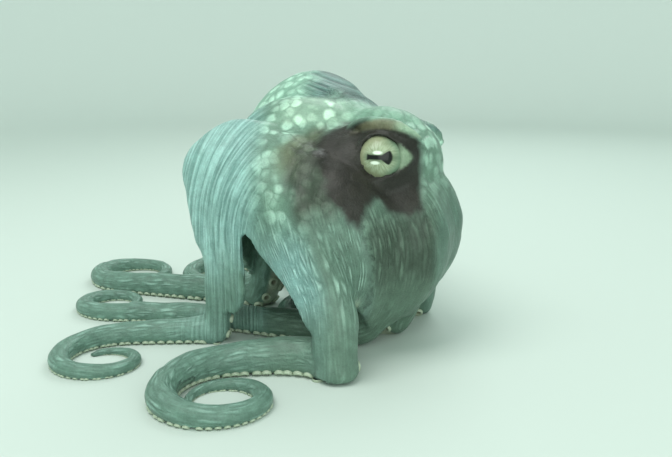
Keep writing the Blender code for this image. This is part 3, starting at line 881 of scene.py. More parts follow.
@dataclass
class Paint:
    """Colours and pattern strengths of every point of the skin."""

    count: int
    light: Array = field(init=False)
    dark: Array = field(init=False)
    cells: Array = field(init=False)
    streaks: Array = field(init=False)
    lines: Array = field(init=False)

    def __post_init__(self) -> None:
        """Starts with the look of the body everywhere."""
        self.light, self.dark = (np.zeros((self.count, 4)) for _ in range(2))
        self.cells, self.streaks, self.lines = (np.zeros(self.count) for _ in range(3))
        self.lay(np.ones(self.count), Zone.BODY)

    def lay(self, share: Array, zone: Zone) -> None:
        """Covers part of the skin with a zone.

        Args:
            share: How fully each point is covered, from 0 to 1.
            zone: The zone whose look it gets.
        """
        look = zone.value
        w = np.clip(share, 0, 1)
        self.light += (np.array(linear(*look.light)) - self.light) * w[:, None]
        self.dark += (np.array(linear(*look.dark)) - self.dark) * w[:, None]
        self.cells += (look.cells - self.cells) * w
        self.streaks += (look.streaks - self.streaks) * w
        self.lines += (look.lines - self.lines) * w

    def calm(self, share: Array) -> None:
        """Fades streaks into their mean tone, where two arms meet and their patterns would clash.

        Args:
            share: How fully the streaks fade at each point, from 0 to 1.
        """
        mean = (self.light + self.dark) / 2
        self.light += (mean - self.light) * (share * self.streaks)[:, None]
        self.streaks = self.streaks * (1 - share)


class Graph:
    """Short names for building a material's nodes."""

    def __init__(self, name: str) -> None:
        """Starts a material with one Principled shader.

        Args:
            name: Name of the material.
        """
        self.material = bpy.data.materials.new(name)
        self.material.use_nodes = True
        self.tree = self.material.node_tree
        self.shader = self.tree.nodes["Principled BSDF"]

    def put(self, socket: bpy.types.NodeSocket, value: object) -> None:
        """Links a socket to another one, or sets its value.

        Args:
            socket: The input.
            value: An output to link, or a plain value.
        """
        if isinstance(value, bpy.types.NodeSocket):
            self.tree.links.new(value, socket)
        else:
            socket.default_value = value

    def attribute(self, name: str, output: str = "Fac") -> bpy.types.NodeSocket:
        """Reads an attribute of the mesh.

        Args:
            name: Name of the attribute.
            output: The output to read.

        Returns:
            That output.
        """
        node = self.tree.nodes.new("ShaderNodeAttribute")
        node.attribute_name = name
        return node.outputs[output]

    def math(self, kind: str, a: object, b: object = 0.0, c: object = 0.0) -> bpy.types.NodeSocket:
        """Adds a Math node.

        Args:
            kind: Its operation.
            a: First value.
            b: Second value.
            c: Third value.

        Returns:
            The result.
        """
        node = self.tree.nodes.new("ShaderNodeMath")
        node.operation = kind
        for socket, value in zip(node.inputs, (a, b, c)):
            self.put(socket, value)
        return node.outputs[0]

    def ease(self, value: object, low: object, high: object) -> bpy.types.NodeSocket:
        """Eases a value from 0 to 1.

        Args:
            value: The value.
            low: Where the result is 0.
            high: Where the result is 1.

        Returns:
            The eased value.
        """
        node = self.tree.nodes.new("ShaderNodeMapRange")
        node.interpolation_type = 'SMOOTHSTEP'
        for key, item in (("Value", value), ("From Min", low), ("From Max", high)):
            self.put(node.inputs[key], item)
        return node.outputs[0]

    def mix(self, share: object, a: object, b: object) -> bpy.types.NodeSocket:
        """Mixes two colours.

        Args:
            share: How much of the second one, from 0 to 1.
            a: First colour.
            b: Second colour.

        Returns:
            The mixed colour.
        """
        node = self.tree.nodes.new("ShaderNodeMix")
        node.data_type = 'RGBA'
        for socket, value in ((node.inputs[0], share), (node.inputs[6], a), (node.inputs[7], b)):
            self.put(socket, value)
        return node.outputs[2]

    def lots(self, colour: object) -> tuple[bpy.types.NodeSocket, bpy.types.NodeSocket]:
        """Draws two values of each cell from its colour.

        Args:
            colour: The colour of the cells.

        Returns:
            Its red and its green channel.
        """
        node = self.tree.nodes.new("ShaderNodeSeparateColor")
        self.put(node.inputs[0], colour)
        return node.outputs[0], node.outputs[1]

    def scaled(self, vector: object, size: Sequence[float]) -> bpy.types.NodeSocket:
        """Divides a vector by a size along each axis.

        Args:
            vector: The vector.
            size: The three sizes.

        Returns:
            The vector in units of those sizes.
        """
        node = self.tree.nodes.new("ShaderNodeVectorMath")
        node.operation = 'DIVIDE'
        self.put(node.inputs[0], vector)
        node.inputs[1].default_value = tuple(size)
        return node.outputs[0]

    def noise(self, vector: object, detail: float = 2.0, output: str = "Fac") -> bpy.types.NodeSocket:
        """Adds noise whose lumps are about one unit across.

        Args:
            vector: Where it is read.
            detail: How many finer layers it has.
            output: The output to read.

        Returns:
            That output.
        """
        node = self.tree.nodes.new("ShaderNodeTexNoise")
        self.put(node.inputs["Vector"], vector)
        node.inputs["Scale"].default_value = 1.0
        node.inputs["Detail"].default_value = detail
        return node.outputs[output]

    def cells(self, vector: object, feature: str = 'DISTANCE_TO_EDGE') -> bpy.types.Node:
        """Adds a Voronoi texture whose cells are about one unit across.

        Args:
            vector: Where it is read.
            feature: What it measures.

        Returns:
            The node.
        """
        node = self.tree.nodes.new("ShaderNodeTexVoronoi")
        node.feature = feature
        self.put(node.inputs["Vector"], vector)
        node.inputs["Scale"].default_value = 1.0
        return node

    def warped(self, vector: object, amount: float) -> bpy.types.NodeSocket:
        """Shifts a vector a little by noise.

        Args:
            vector: The vector.
            amount: How far, in its own units.

        Returns:
            The shifted vector.
        """
        bend = self.tree.nodes.new("ShaderNodeVectorMath")
        bend.operation = 'MULTIPLY_ADD'
        self.put(bend.inputs[0], self.noise(vector, 1.0, "Color"))
        bend.inputs[1].default_value = (amount,) * 3
        self.put(bend.inputs[2], vector)
        return bend.outputs[0]

    def bump(self, height: object, distance: float, strength: float) -> None:
        """Adds relief to the shader's normal.

        Args:
            height: Height of each point.
            distance: Metres for one unit of height.
            strength: How strongly it shows, from 0 to 1.
        """
        node = self.tree.nodes.new("ShaderNodeBump")
        node.inputs["Strength"].default_value = strength
        node.inputs["Distance"].default_value = distance
        self.put(node.inputs["Height"], height)
        self.put(self.shader.inputs["Normal"], node.outputs[0])


@dataclass(frozen=True)
class SkinFinish:
    """Wet, finely textured skin that carries the markings of the zones."""

    cell: float = 5.5               # millimetres between the centres of round spots
    streak: tuple[float, float] = (10.0, 2.3)       # length and width of the streaks
    breaks: tuple[float, float] = (16.0, 5.0)       # and of the patches that break them
    thread: tuple[float, float] = (9.0, 0.9)
    line: tuple[float, float] = (22.0, 1.25)
    speckle: float = 0.8
    blotch: float = 5.0
    roughness: float = 0.42
    coat: float = 0.10
    relief: float = 0.0010

    def spots(self, g: Graph, at: bpy.types.NodeSocket) -> bpy.types.NodeSocket:
        """Makes round spots of uneven size, some of them faint.

        Args:
            g: Nodes of the material.
            at: Place on the skin, in metres.

        Returns:
            How fully each point lies on a spot.
        """
        size = self.cell * MILLIMETRE
        grid = g.warped(g.scaled(at, (size, size * 1.3, size * 1.1)), 0.6)
        node = g.cells(grid, 'F1')
        faint, wide = g.lots(node.outputs["Color"])
        reach = g.math('ADD', g.math('MULTIPLY', wide, 0.16), 0.46)
        spot = g.ease(g.math('SUBTRACT', node.outputs["Distance"], reach), 0.12, -0.24)
        return g.math('MULTIPLY', spot, g.ease(faint, -0.55, 0.75))

    def streaks(self, g: Graph, weave: bpy.types.NodeSocket) -> bpy.types.NodeSocket:
        """Makes streaks that run along the arms, some of them faint or broken.

        Args:
            g: Nodes of the material.
            weave: Place along and round the arm, in millimetres.

        Returns:
            How fully each point lies on a streak.
        """
        run = g.warped(g.scaled(weave, (*self.streak, 1.0)), 0.35)
        streak = g.ease(g.cells(run).outputs["Distance"], 0.0, 0.42)
        faint, _ = g.lots(g.cells(run, 'F1').outputs["Color"])
        streak = g.math('MULTIPLY', streak, g.ease(faint, -0.35, 0.80))
        broken = g.ease(g.noise(g.scaled(weave, (*self.breaks, 1.0))), 0.20, 0.62)
        return g.math('MULTIPLY', streak, broken)

    def build(self) -> bpy.types.Material:
        """Returns the material."""
        g = Graph("octopus_skin")
        at = g.tree.nodes.new("ShaderNodeTexCoord").outputs["Object"]
        weave = g.attribute("weave", "Vector")
        spot, streak = self.spots(g, at), self.streaks(g, weave)
        fan = g.attribute("fan", "Vector")
        line = g.ease(g.noise(g.scaled(fan, (*self.line, 1.0)), 2.5), 0.32, 0.68)
        gaps = [g.math('MULTIPLY', g.attribute(name), g.math('SUBTRACT', 1.0, pattern))
                for name, pattern in (("cells", spot), ("streaks", streak), ("lines", line))]
        dark = g.math('MINIMUM', g.math('ADD', g.math('ADD', gaps[0], gaps[1]), gaps[2]), 1.0)
        colour = g.mix(dark, g.attribute("light", "Color"), g.attribute("dark", "Color"))
        fine = g.noise(g.scaled(at, (self.speckle * MILLIMETRE,) * 3), 3.0)
        broad = g.noise(g.scaled(at, (self.blotch * MILLIMETRE,) * 3), 4.0)
        thread = g.math('SUBTRACT', g.noise(g.scaled(weave, (*self.thread, 1.0)), 2.0), 0.5)
        tone = g.math('ADD', g.math('MULTIPLY', fine, 0.45), g.math('MULTIPLY', broad, 0.70))
        threads = g.math('MULTIPLY', thread, g.math('MULTIPLY', g.attribute("streaks"), 0.7))
        tone = g.math('ADD', tone, threads)
        shade = g.tree.nodes.new("ShaderNodeHueSaturation")
        g.put(shade.inputs["Color"], colour)
        g.put(shade.inputs["Value"], g.math('ADD', tone, 0.42))
        g.put(g.shader.inputs["Base Color"], shade.outputs[0])
        g.shader.inputs["Roughness"].default_value = self.roughness
        g.shader.inputs["Coat Weight"].default_value = self.coat
        g.shader.inputs["Coat Roughness"].default_value = 0.25
        g.shader.inputs["Specular IOR Level"].default_value = 0.25
        g.shader.inputs["Subsurface Weight"].default_value = 0.06
        g.shader.inputs["Subsurface Radius"].default_value = (0.004, 0.005, 0.004)
        g.shader.inputs["Subsurface Scale"].default_value = 0.5
        height = g.math('SUBTRACT', g.math('MULTIPLY', fine, 0.35), dark)
        g.bump(height, self.relief, 0.8)
        return g.material


@dataclass(frozen=True)
class EyeFinish:
    """Pale iris with fine fibres round a dark bar of a pupil, under a wet clear surface."""

    middle: tuple[float, float] = (3.2, 0.7)        # of the pupil, forwards and upwards of the ball's axis
    half: tuple[float, float] = (5.4, 1.05)         # half length and half height of its bar
    front: float = 2.1                              # its front end is this much taller than the bar
    painted_glints: Sequence[tuple[float, float, float, float]] = (     # middle and half size of the pale spots of the painted highlights
        (-0.6, 2.1, 2.4, 1.0), (-1.4, -2.5, 2.3, 0.9))

    def pupil(self, g: Graph, x: bpy.types.NodeSocket, level: bpy.types.NodeSocket) -> bpy.types.NodeSocket:
        """Makes the dark bar with its wider front end.

        Args:
            g: Nodes of the material.
            x: Distance forwards of the pupil's middle.
            level: Distance above or below it.

        Returns:
            How fully each point lies on the pupil.
        """
        end, bar_half = self.half
        tall = g.math('ADD', g.math('MULTIPLY', g.ease(x, 1.6 - end, -end), 0.35),
                      g.math('MULTIPLY', g.ease(x, end - 4.4, end - 1.2), self.front))
        tall = g.math('ADD', tall, bar_half)
        bar = g.math('SUBTRACT', 1.0, g.ease(g.math('SUBTRACT', level, tall), -0.35, 0.35))
        round_end = g.math('ADD', x, g.math('MULTIPLY', g.math('MULTIPLY', level, level), 0.11))
        ends = g.math('MULTIPLY', g.ease(x, -end - 0.5, -end + 0.5), g.ease(round_end, end + 0.5, end - 0.3))
        return g.math('MULTIPLY', bar, ends)

    def iris(self, g: Graph, x: bpy.types.NodeSocket, y: bpy.types.NodeSocket,
             level: bpy.types.NodeSocket) -> tuple[bpy.types.NodeSocket, bpy.types.NodeSocket]:
        """Makes the pale iris with its fibres, a dusky band along the pupil, and the pale spots of two
        painted highlights.

        Args:
            g: Nodes of the material.
            x: Distance forwards of the pupil's middle.
            y: Distance above it.
            level: Distance above or below it.

        Returns:
            The colour, and the fibres' strength.
        """
        reach = g.math('SQRT', g.math('ADD', g.math('MULTIPLY', x, x), g.math('MULTIPLY', y, y)))
        ray = g.tree.nodes.new("ShaderNodeCombineXYZ")
        g.put(ray.inputs[0], g.math('MULTIPLY', g.math('ARCTAN2', y, x), 9.0))
        g.put(ray.inputs[1], g.math('MULTIPLY', reach, 0.35))
        fibre = g.noise(ray.outputs[0], 3.0)
        iris = g.mix(g.ease(fibre, 0.3, 0.7), linear(142, 154, 124), linear(176, 190, 160))
        band = g.ease(g.math('ADD', level, g.math('MULTIPLY', reach, 0.25)), 4.2, 1.8)
        iris = g.mix(g.math('MULTIPLY', band, 0.75), iris, linear(96, 114, 88))
        outer = g.mix(g.ease(x, -2.0, 6.0), linear(152, 158, 126), linear(112, 140, 116))
        iris = g.mix(g.ease(reach, 5.0, 9.0), iris, outer)
        # painted highlights: two pale glints beside the pupil
        for glint_x, glint_y, wide, high in self.painted_glints:
            u = g.math('DIVIDE', g.math('SUBTRACT', x, glint_x), wide)
            v = g.math('DIVIDE', g.math('SUBTRACT', y, glint_y), high)
            near = g.math('ADD', g.math('MULTIPLY', u, u), g.math('MULTIPLY', v, v))
            iris = g.mix(g.ease(near, 1.3, 0.2), iris, linear(238, 250, 232))
        return iris, fibre

    def build(self) -> bpy.types.Material:
        """Returns the material; it reads where a point lies round the eye's axis, in millimetres."""
        g = Graph("octopus_eye")
        split = g.tree.nodes.new("ShaderNodeSeparateXYZ")
        g.put(split.inputs[0], g.attribute("gaze", "Vector"))
        x = g.math('SUBTRACT', split.outputs[0], self.middle[0])
        y = g.math('SUBTRACT', split.outputs[1], self.middle[1])
        level = g.math('ABSOLUTE', y)
        iris, fibre = self.iris(g, x, y, level)
        pupil = self.pupil(g, x, level)
        g.put(g.shader.inputs["Base Color"], g.mix(pupil, iris, linear(9, 12, 9)))
        g.shader.inputs["Roughness"].default_value = 0.35
        g.shader.inputs["Specular IOR Level"].default_value = 0.15
        g.shader.inputs["Coat Weight"].default_value = 0.45
        g.shader.inputs["Coat Roughness"].default_value = 0.04
        g.bump(fibre, 0.0003, 0.3)
        return g.material


@dataclass(frozen=True)
class SuckerFinish:
    """Smooth pale cups."""

    rim: tuple[int, int, int] = (178, 192, 168)
    pit: tuple[int, int, int] = (118, 122, 98)

    def build(self) -> bpy.types.Material:
        """Returns the material; it reads how far out in its cup a point lies."""
        g = Graph("octopus_sucker")
        share = g.ease(g.attribute("cup"), 0.30, 0.75)
        g.put(g.shader.inputs["Base Color"], g.mix(share, linear(*self.pit), linear(*self.rim)))
        g.shader.inputs["Roughness"].default_value = 0.38
        g.shader.inputs["Coat Weight"].default_value = 0.25
        return g.material


def store(obj: bpy.types.Object, name: str, kind: str, values: Array) -> None:
    """Keeps one value per vertex on a mesh.

    Args:
        obj: The mesh object.
        name: Name of the attribute.
        kind: Its data type.
        values: The values, one row per vertex.
    """
    key = {"FLOAT": "value", "FLOAT_VECTOR": "vector", "FLOAT_COLOR": "color"}[kind]
    layer = obj.data.attributes.new(name, kind, 'POINT')
    layer.data.foreach_set(key, np.asarray(values, np.float32).ravel())


def apply_modifiers(obj: bpy.types.Object) -> None:
    """Applies every modifier of an object.

    Args:
        obj: The object.
    """
    bpy.ops.object.select_all(action='DESELECT')
    obj.select_set(True)
    bpy.context.view_layer.objects.active = obj
    for modifier in list(obj.modifiers):
        bpy.ops.object.modifier_apply(modifier=modifier.name)


def read_points(obj: bpy.types.Object) -> tuple[Array, Array]:
    """Reads the vertices of a mesh.

    Args:
        obj: The mesh object.

    Returns:
        The vertices and their normals.
    """
    count = len(obj.data.vertices)
    points, normals = np.empty(count * 3), np.empty(count * 3)
    obj.data.vertices.foreach_get("co", points)
    obj.data.vertex_normals.foreach_get("vector", normals)
    return points.reshape(-1, 3), normals.reshape(-1, 3)


@dataclass
class Skin:
    """The whole skin: melted forms, relief and markings."""

    head: Head
    trunk: Trunk
    place: Place
    grain: float = 1.25
    soften: int = 5
    most_triangles: int = 190000
    pleat: float = 3.4              # width of the pleats of the spread web
    ridge: float = 6.0              # height of the ridges across the mantle
    climb: float = 0.35             # the ridges sink by this share of the way towards the head
    bore_depth: float = 7.0         # of the funnel
    arch: tuple[float, float] = (-20.0, 55.0)       # the lines of the spread web arch round this point
    arch_share: float = 0.7         # and stand taller than they are wide
    arch_run: float = 30.0          # run of the pattern for one radian round the arch
    arm_step: float = 50.0          # keeps the patterns of neighbouring arms apart
    mantle_step: float = 40.0       # and those of the mantle and the web
    name: str = "skin"
    object: bpy.types.Object = field(init=False)

    def melt(self) -> None:
        """Melts all forms into one closed surface."""
        shapes = [arm.shape() for arm in ARMS.values()]
        shapes += [web.shape(ARMS) for web in WEBS]
        shapes += self.trunk.shapes(self.head.facing) + self.head.shapes()
        self.object = Shape.join(shapes).build(self.name)
        remesh = self.object.modifiers.new("melt", 'REMESH')
        remesh.mode = 'VOXEL'
        remesh.voxel_size = self.grain
        smooth = self.object.modifiers.new("soften", 'SMOOTH')
        smooth.factor = 0.5
        smooth.iterations = self.soften
        apply_modifiers(self.object)
        triangles = 2 * len(self.object.data.polygons)
        LOG.info("skin melted: %d triangles", triangles)
        if triangles > self.most_triangles:
            thin = self.object.modifiers.new("thin", 'DECIMATE')
            thin.ratio = self.most_triangles / triangles
            even = self.object.modifiers.new("even", 'SMOOTH')
            even.factor = 0.4
            apply_modifiers(self.object)

    def raise_relief(self) -> None:
        """Adds folds, pleats and the bore of the funnel, and rests the skin on the floor."""
        points, normals = read_points(self.object)
        survey = Survey(points, self.head)
        points = points + normals * self.folds(survey)[:, None]
        points = self.bore_funnel(self.open_lids(points, survey))
        points[:, 2] = np.maximum(points[:, 2], 0.0)
        self.object.data.vertices.foreach_set("co", points.ravel())
        self.object.data.update()

    def folds(self, survey: Survey) -> Array:
        """Works out the lumps, pleats and ridges, which fade round the eyes and towards the floor.

        Args:
            survey: Where each point lies on the animal.

        Returns:
            How far each point is lifted.
        """
        p = survey.points
        from_eye = np.hypot(survey.ahead, survey.above) + np.where(survey.outside > -14, 0, 99)
        lift = smoothstep(p[:, 2], 2.0, 10.0) * smoothstep(from_eye, 14, 22)
        lumps = 0.55 * lattice_noise(p, 13.0, 1) + 0.3 * lattice_noise(p, 5.0, 2)
        across = survey.far["arm_r4"] + 0.8 * lattice_noise(p, 9.0, 3)
        pleats = 0.32 * np.sin(2 * math.pi * across / self.pleat)
        level = p[:, 2] + self.climb * p[:, 0]
        ridges = 0.4 * np.sin(2 * math.pi * level / self.ridge + 2 * lattice_noise(p, 20.0, 4))
        rise = lumps + flap_share(survey) * pleats
        rise = rise + mantle_share(survey) * ridges * smoothstep(p[:, 0], -20, 5)
        return lift * (rise - 0.5)

    def bore_funnel(self, points: Array) -> Array:
        """Sinks the end of the funnel to show its bore.

        Args:
            points: Points of the skin.

        Returns:
            The moved points.
        """
        tip, before = (np.array(p, float) for p in self.trunk.funnel_axis[:-3:-1])
        along = unit(tip - before)
        rel = points - tip
        depth = rel @ along
        wide = np.linalg.norm(rel - depth[:, None] * along, axis=1)
        bored = smoothstep(wide, self.trunk.funnel_bore, self.trunk.funnel_bore - 1.2)
        bored = bored * (depth > -2.5) * (depth < 3)
        return points - along * (self.bore_depth * bored)[:, None]

    def open_lids(self, points: Array, survey: Survey) -> Array:
        """Sinks the skin between the lids below the surface of the eyeballs.

        Args:
            points: Points of the skin.
            survey: Where they lie on the animal.

        Returns:
            The moved points.
        """
        x, y, out = survey.gaze.T
        share = smoothstep(depth_inside(x, y, self.head.opening()), -0.5, 0.7) * (out > 0)
        floor = np.sqrt(np.maximum((self.head.eye_radius - 1.3) ** 2 - x * x - y * y, 14.0))
        drop = share * np.maximum(out - floor, 0.0)
        axes = [self.head.eye_frame(side)[2] for side in (Side.RIGHT, Side.LEFT)]
        return points - drop[:, None] * np.where(survey.right[:, None], axes[0], axes[1])

    def mark(self) -> None:
        """Stores the colours, the pattern strengths and the pattern's own coordinates."""
        points, _ = read_points(self.object)
        survey = Survey(points, self.head)
        paint = Paint(len(points))
        markings = Markings(survey, paint)
        markings.lay()
        around = survey.angle * survey.far_nearest()
        store(self.object, "light", 'FLOAT_COLOR', paint.light)
        store(self.object, "dark", 'FLOAT_COLOR', paint.dark)
        for name in ("cells", "streaks", "lines"):
            store(self.object, name, 'FLOAT', getattr(paint, name))
        weave = np.stack([survey.s, around, survey.arm_index * self.arm_step], 1)
        store(self.object, "weave", 'FLOAT_VECTOR', weave)
        aside, rise = points[:, 0] - self.arch[0], (points[:, 2] - self.arch[1]) * self.arch_share
        over, under = np.maximum(rise, 0.0), np.minimum(rise, 0.0)
        round_arch = self.arch_run * np.arctan2(over, aside) + under * np.sign(aside)
        on_mantle = markings.mantle > 0.5
        across = np.where(on_mantle, points[:, 2] + self.climb * points[:, 0], np.hypot(aside, over))
        run = np.where(on_mantle, points[:, 1], round_arch)
        fan = np.stack([run, across, markings.mantle * self.mantle_step], 1)
        store(self.object, "fan", 'FLOAT_VECTOR', fan)

    def build(self, finish: SkinFinish) -> bpy.types.Object:
        """Makes the skin.

        Args:
            finish: Its finish.

        Returns:
            The finished piece.
        """
        self.melt()
        self.raise_relief()
        self.mark()
        mesh = self.object.data
        mesh.vertices.foreach_set("co", self.place.inside(read_points(self.object)[0]).ravel())
        mesh.update()
        mesh.shade_smooth()
        mesh.materials.append(finish.build())
        return self.object


def flap_share(survey: Survey) -> Array:
    """Tells how far each point belongs to the spread web between the two rear right arms.

    Args:
        survey: Where each point lies on the animal.

    Returns:
        Values from 0 to 1.
    """
    rear, front = survey.far["arm_r4"], survey.far["arm_r3"]
    between = np.maximum(smoothstep(rear + front, 96, 78), smoothstep(rear, 19, 15))
    outer = smoothstep(survey.points[:, 0], -30, -46)
    low = smoothstep(survey.points[:, 1], 26, 14)
    ends = np.maximum(smoothstep(survey.along["arm_r3"], 130, 112), smoothstep(rear, 26, 18))
    ends = ends * smoothstep(survey.along["arm_r4"], 180, 125)
    return between * outer * low * ends * smoothstep(survey.along["arm_r4"], 16, 40)


def mantle_share(survey: Survey) -> Array:
    """Tells how far each point belongs to the mantle, from its distance to the mantle's middle.

    Args:
        survey: Where each point lies on the animal.

    Returns:
        Values from 0 to 1.
    """
    reach = (survey.points - np.array([-12, 60, 92])) / np.array([46, 58, 44])
    return smoothstep(np.sqrt((reach ** 2).sum(axis=1)), 1.12, 0.96)


@dataclass(frozen=True)
class Mask:
    """Dark mask round an eye; it runs back towards the mantle and down to a point."""

    outline: Sequence[tuple[float, float]] = (          # forwards and upwards of the eye
        (21.5, 4), (20.5, -10), (19.5, -23.5), (12, -27.5), (4, -25.5), (-2.5, -20.5), (-6.5, -25.5),
        (-11.5, -36), (-18, -30), (-26, -20), (-31, -8), (-34, 3), (-30, 13), (-18, 17.5), (-4, 17.5),
        (8, 15), (17, 10))
    hard: float = 2.6
    soft: float = 4.5

    def share(self, forwards: Array, upwards: Array, wander: Array) -> Array:
        """Gives how dark each point is.

        Args:
            forwards: Distance forwards of the eye.
            upwards: Distance above it.
            wander: Noise that makes the border ragged.

        Returns:
            Values from 0 to 1.
        """
        inside = depth_inside(forwards, upwards, self.outline)
        fade = smoothstep(forwards, -8, -26) * smoothstep(upwards, -22, -8)
        width = self.hard + (self.soft - self.hard) * fade
        return smoothstep((inside + wander * (1.0 + 2.0 * fade)) / width, -1, 1)


@dataclass
class Markings:
    """Lays the zones of the skin one over the other, body first; some zones are painted light and painted
    shade.
    """

    survey: Survey
    paint: Paint
    wander: Array = field(init=False)       # broad noise that shifts the borders
    flap: Array = field(init=False)         # share of the spread web
    mantle: Array = field(init=False)       # share of the mantle
    on_arm: Array = field(init=False)       # share of the arms without the webs
    facing: Array = field(init=False)       # fades the mask at the front of the left side
    turned: Array = field(init=False)       # in front of the eye, as seen square from the animal's right
    level: Array = field(init=False)        # above it

    def __post_init__(self) -> None:
        """Works out what several zones use."""
        survey = self.survey
        self.wander = lattice_noise(survey.points, 9.0, 11)
        self.flap, self.mantle = flap_share(survey), mantle_share(survey)
        self.on_arm = smoothstep(survey.off, 1.5, 1.2) * smoothstep(survey.s, 42, 74)
        self.facing = np.where(survey.right, 1.0, smoothstep(survey.ahead, 8, 1))
        self.turned = survey.ahead + survey.outside * math.tan(survey.head.facing)
        self.level = survey.above - 0.2 * survey.outside

    def lay(self) -> None:
        """Lays all zones; the order counts."""
        self.lay_arms()
        self.lay_bulb()
        self.lay_reaching_arm()
        self.lay_flap()
        self.lay_mantle()
        self.lay_head_top()
        self.lay_ochre_and_cheek_shadow()
        self.lay_mask()
        self.lay_brow()
        self.lay_eye_corner()
        self.lay_mouth_side()
        self.paint.calm(smoothstep(self.survey.share.max(axis=0), 0.70, 0.52))

    def lay_arms(self) -> None:
        """Lays the arms and the webs between them."""
        survey = self.survey
        self.paint.lay(self.on_arm, Zone.ARM)
        web = smoothstep(survey.off, 1.2, 1.5) * smoothstep(survey.s, 30, 52) * (1 - self.mantle)
        self.paint.lay(web * 0.9, Zone.WEB)

    def lay_bulb(self) -> None:
        """Lays the dark bulb of the front arms and their webs."""
        survey, p = self.survey, self.survey.points
        bulb = survey.near("arm_r2", "arm_r1", "arm_l1") * smoothstep(survey.s, 12, 34)
        bulb = bulb * smoothstep(survey.s, 150, 105)
        self.paint.lay(bulb, Zone.BULB)
        self.paint.lay(bulb * smoothstep(p[:, 2] + 2 * self.wander, 48, 24), Zone.BULB_LOW)
        front = bulb * smoothstep(p[:, 0] + 0.35 * self.wander, 42, 50)
        self.paint.lay(front * 0.8, Zone.BULB_FRONT)

    def lay_reaching_arm(self) -> None:
        """Lays the streaked arm that reaches down in front, painted light on its pale left edge, and its
        darker end.
        """
        survey = self.survey
        near = survey.near("arm_r3")
        arm = near * smoothstep(survey.s, 46, 72) * smoothstep(survey.s, 150, 120)
        self.paint.lay(arm, Zone.REACHING_ARM)
        # painted light on the left side of the reaching arm
        self.paint.lay(arm * smoothstep(survey.aside, 0.1, -0.9), Zone.REACHING_ARM_LIT)
        end = near * smoothstep(survey.s, 84, 104) * smoothstep(survey.s, 170, 140)
        self.paint.lay(end * 0.85, Zone.REACHING_ARM_END)

    def lay_flap(self) -> None:
        """Lays the spread web, painted shade in the seam of its front arm with the bulb, painted shade on its
        low end, and painted light on its pale rim.
        """
        survey, p = self.survey, self.survey.points
        self.paint.lay(self.flap, Zone.FLAP)
        # painted shade in the seam between the reaching arm and the bulb
        seam = 4 * survey.near("arm_r3") * survey.near("arm_r2") * smoothstep(survey.s, 46, 66)
        self.paint.lay(seam * 0.8 * smoothstep(p[:, 1], -30, -40), Zone.SEAM)
        # painted shade on the lower part of the spread web
        self.paint.lay(self.flap * smoothstep(p[:, 2], 58, 30) * 0.85, Zone.FLAP_LOW)
        # painted light along the rim of the web at the rear arm
        rim = smoothstep(survey.far["arm_r4"], 22, 6) * self.flap * smoothstep(p[:, 2], 20, 45)
        self.paint.lay(rim * 0.7, Zone.FLAP_RIM)

    def lay_mantle(self) -> None:
        """Lays the spotted mantle, its shaded slope and the edge of that slope."""
        x = self.survey.points[:, 0]
        self.paint.lay(self.mantle, Zone.MANTLE)
        self.paint.lay(self.mantle * smoothstep(x + 4 * self.wander, -24, -3), Zone.MANTLE_SHADED)
        self.paint.lay(self.mantle * smoothstep(x, 14, 22) * 0.6, Zone.MANTLE_EDGE)

    def lay_head_top(self) -> None:
        """Lays the top of the head, the pale nape and the shaded hollow behind it."""
        survey, p = self.survey, self.survey.points
        top = (1 - self.mantle) * smoothstep(survey.above, 12, 17) * smoothstep(survey.ahead, -62, -44)
        self.paint.lay(top * smoothstep(survey.ahead, 22, 10), Zone.HEAD_TOP)
        self.paint.lay(top * smoothstep(survey.ahead - 0.36 * survey.outside, -10, -24), Zone.NAPE)
        hollow = smoothstep(p[:, 0] + 3 * self.wander, -8, 8) * smoothstep(p[:, 1], 4, 16)
        self.paint.lay(hollow * smoothstep(p[:, 2], 96, 104), Zone.MANTLE_SHADED)

    def lay_ochre_and_cheek_shadow(self) -> None:
        """Lays the ochre patch, and the dusky cheek behind the eye, which is painted shadow."""
        survey = self.survey
        outer = survey.outside > -26
        patch = np.hypot((survey.ahead + 34) / 11, (survey.above - 2) / 10) + 0.25 * self.wander
        self.paint.lay(smoothstep(patch, 1.3, 0.4) * outer * (1 - self.mantle) * 0.8, Zone.OCHRE)
        # painted shadow on the cheek behind and below the eye
        dusk = np.hypot((self.turned + 33) / 15, (self.level + 13) / 23) + 0.2 * self.wander
        self.paint.lay(smoothstep(dusk, 1.2, 0.55) * outer * 0.94, Zone.CHEEK)

    def lay_mask(self) -> None:
        """Lays the dark mask with its ragged border."""
        survey = self.survey
        fray = self.wander + 1.2 * lattice_noise(survey.points * np.array([1.0, 1.0, 0.3]), 2.6, 12)
        inner = -26 + 15 * smoothstep(survey.ahead, 4, 14)
        mask = Mask().share(self.turned, self.level, fray) * smoothstep(survey.outside, inner, inner + 5)
        self.paint.lay(mask * self.facing, Zone.MASK)

    def lay_brow(self) -> None:
        """Lays painted shade in the dark crease over the eye, and the fold of the brow above it, paler in
        front.
        """
        a, b = self.survey.ahead, self.survey.above
        over = (self.survey.outside > -9) * (b > 0)
        # painted shade in the crease under the brow
        crease = np.hypot((a - 2) / 17, (b - 12.6 + 0.018 * (a - 1) ** 2) / 2.0)
        self.paint.lay(smoothstep(crease, 1.3, 0.7) * over * self.facing, Zone.CREASE)
        fold = np.hypot((a - 4) / 20, (b - 16.4 + 0.018 * (a - 2) ** 2) / 2.4)
        fold = smoothstep(fold, 1.25, 0.6) * over
        self.paint.lay(fold * self.facing * smoothstep(a, -20, -6) * 0.85, Zone.BROW)
        self.paint.lay(fold * smoothstep(a, 4, 14) * 0.8, Zone.BROW_FRONT)

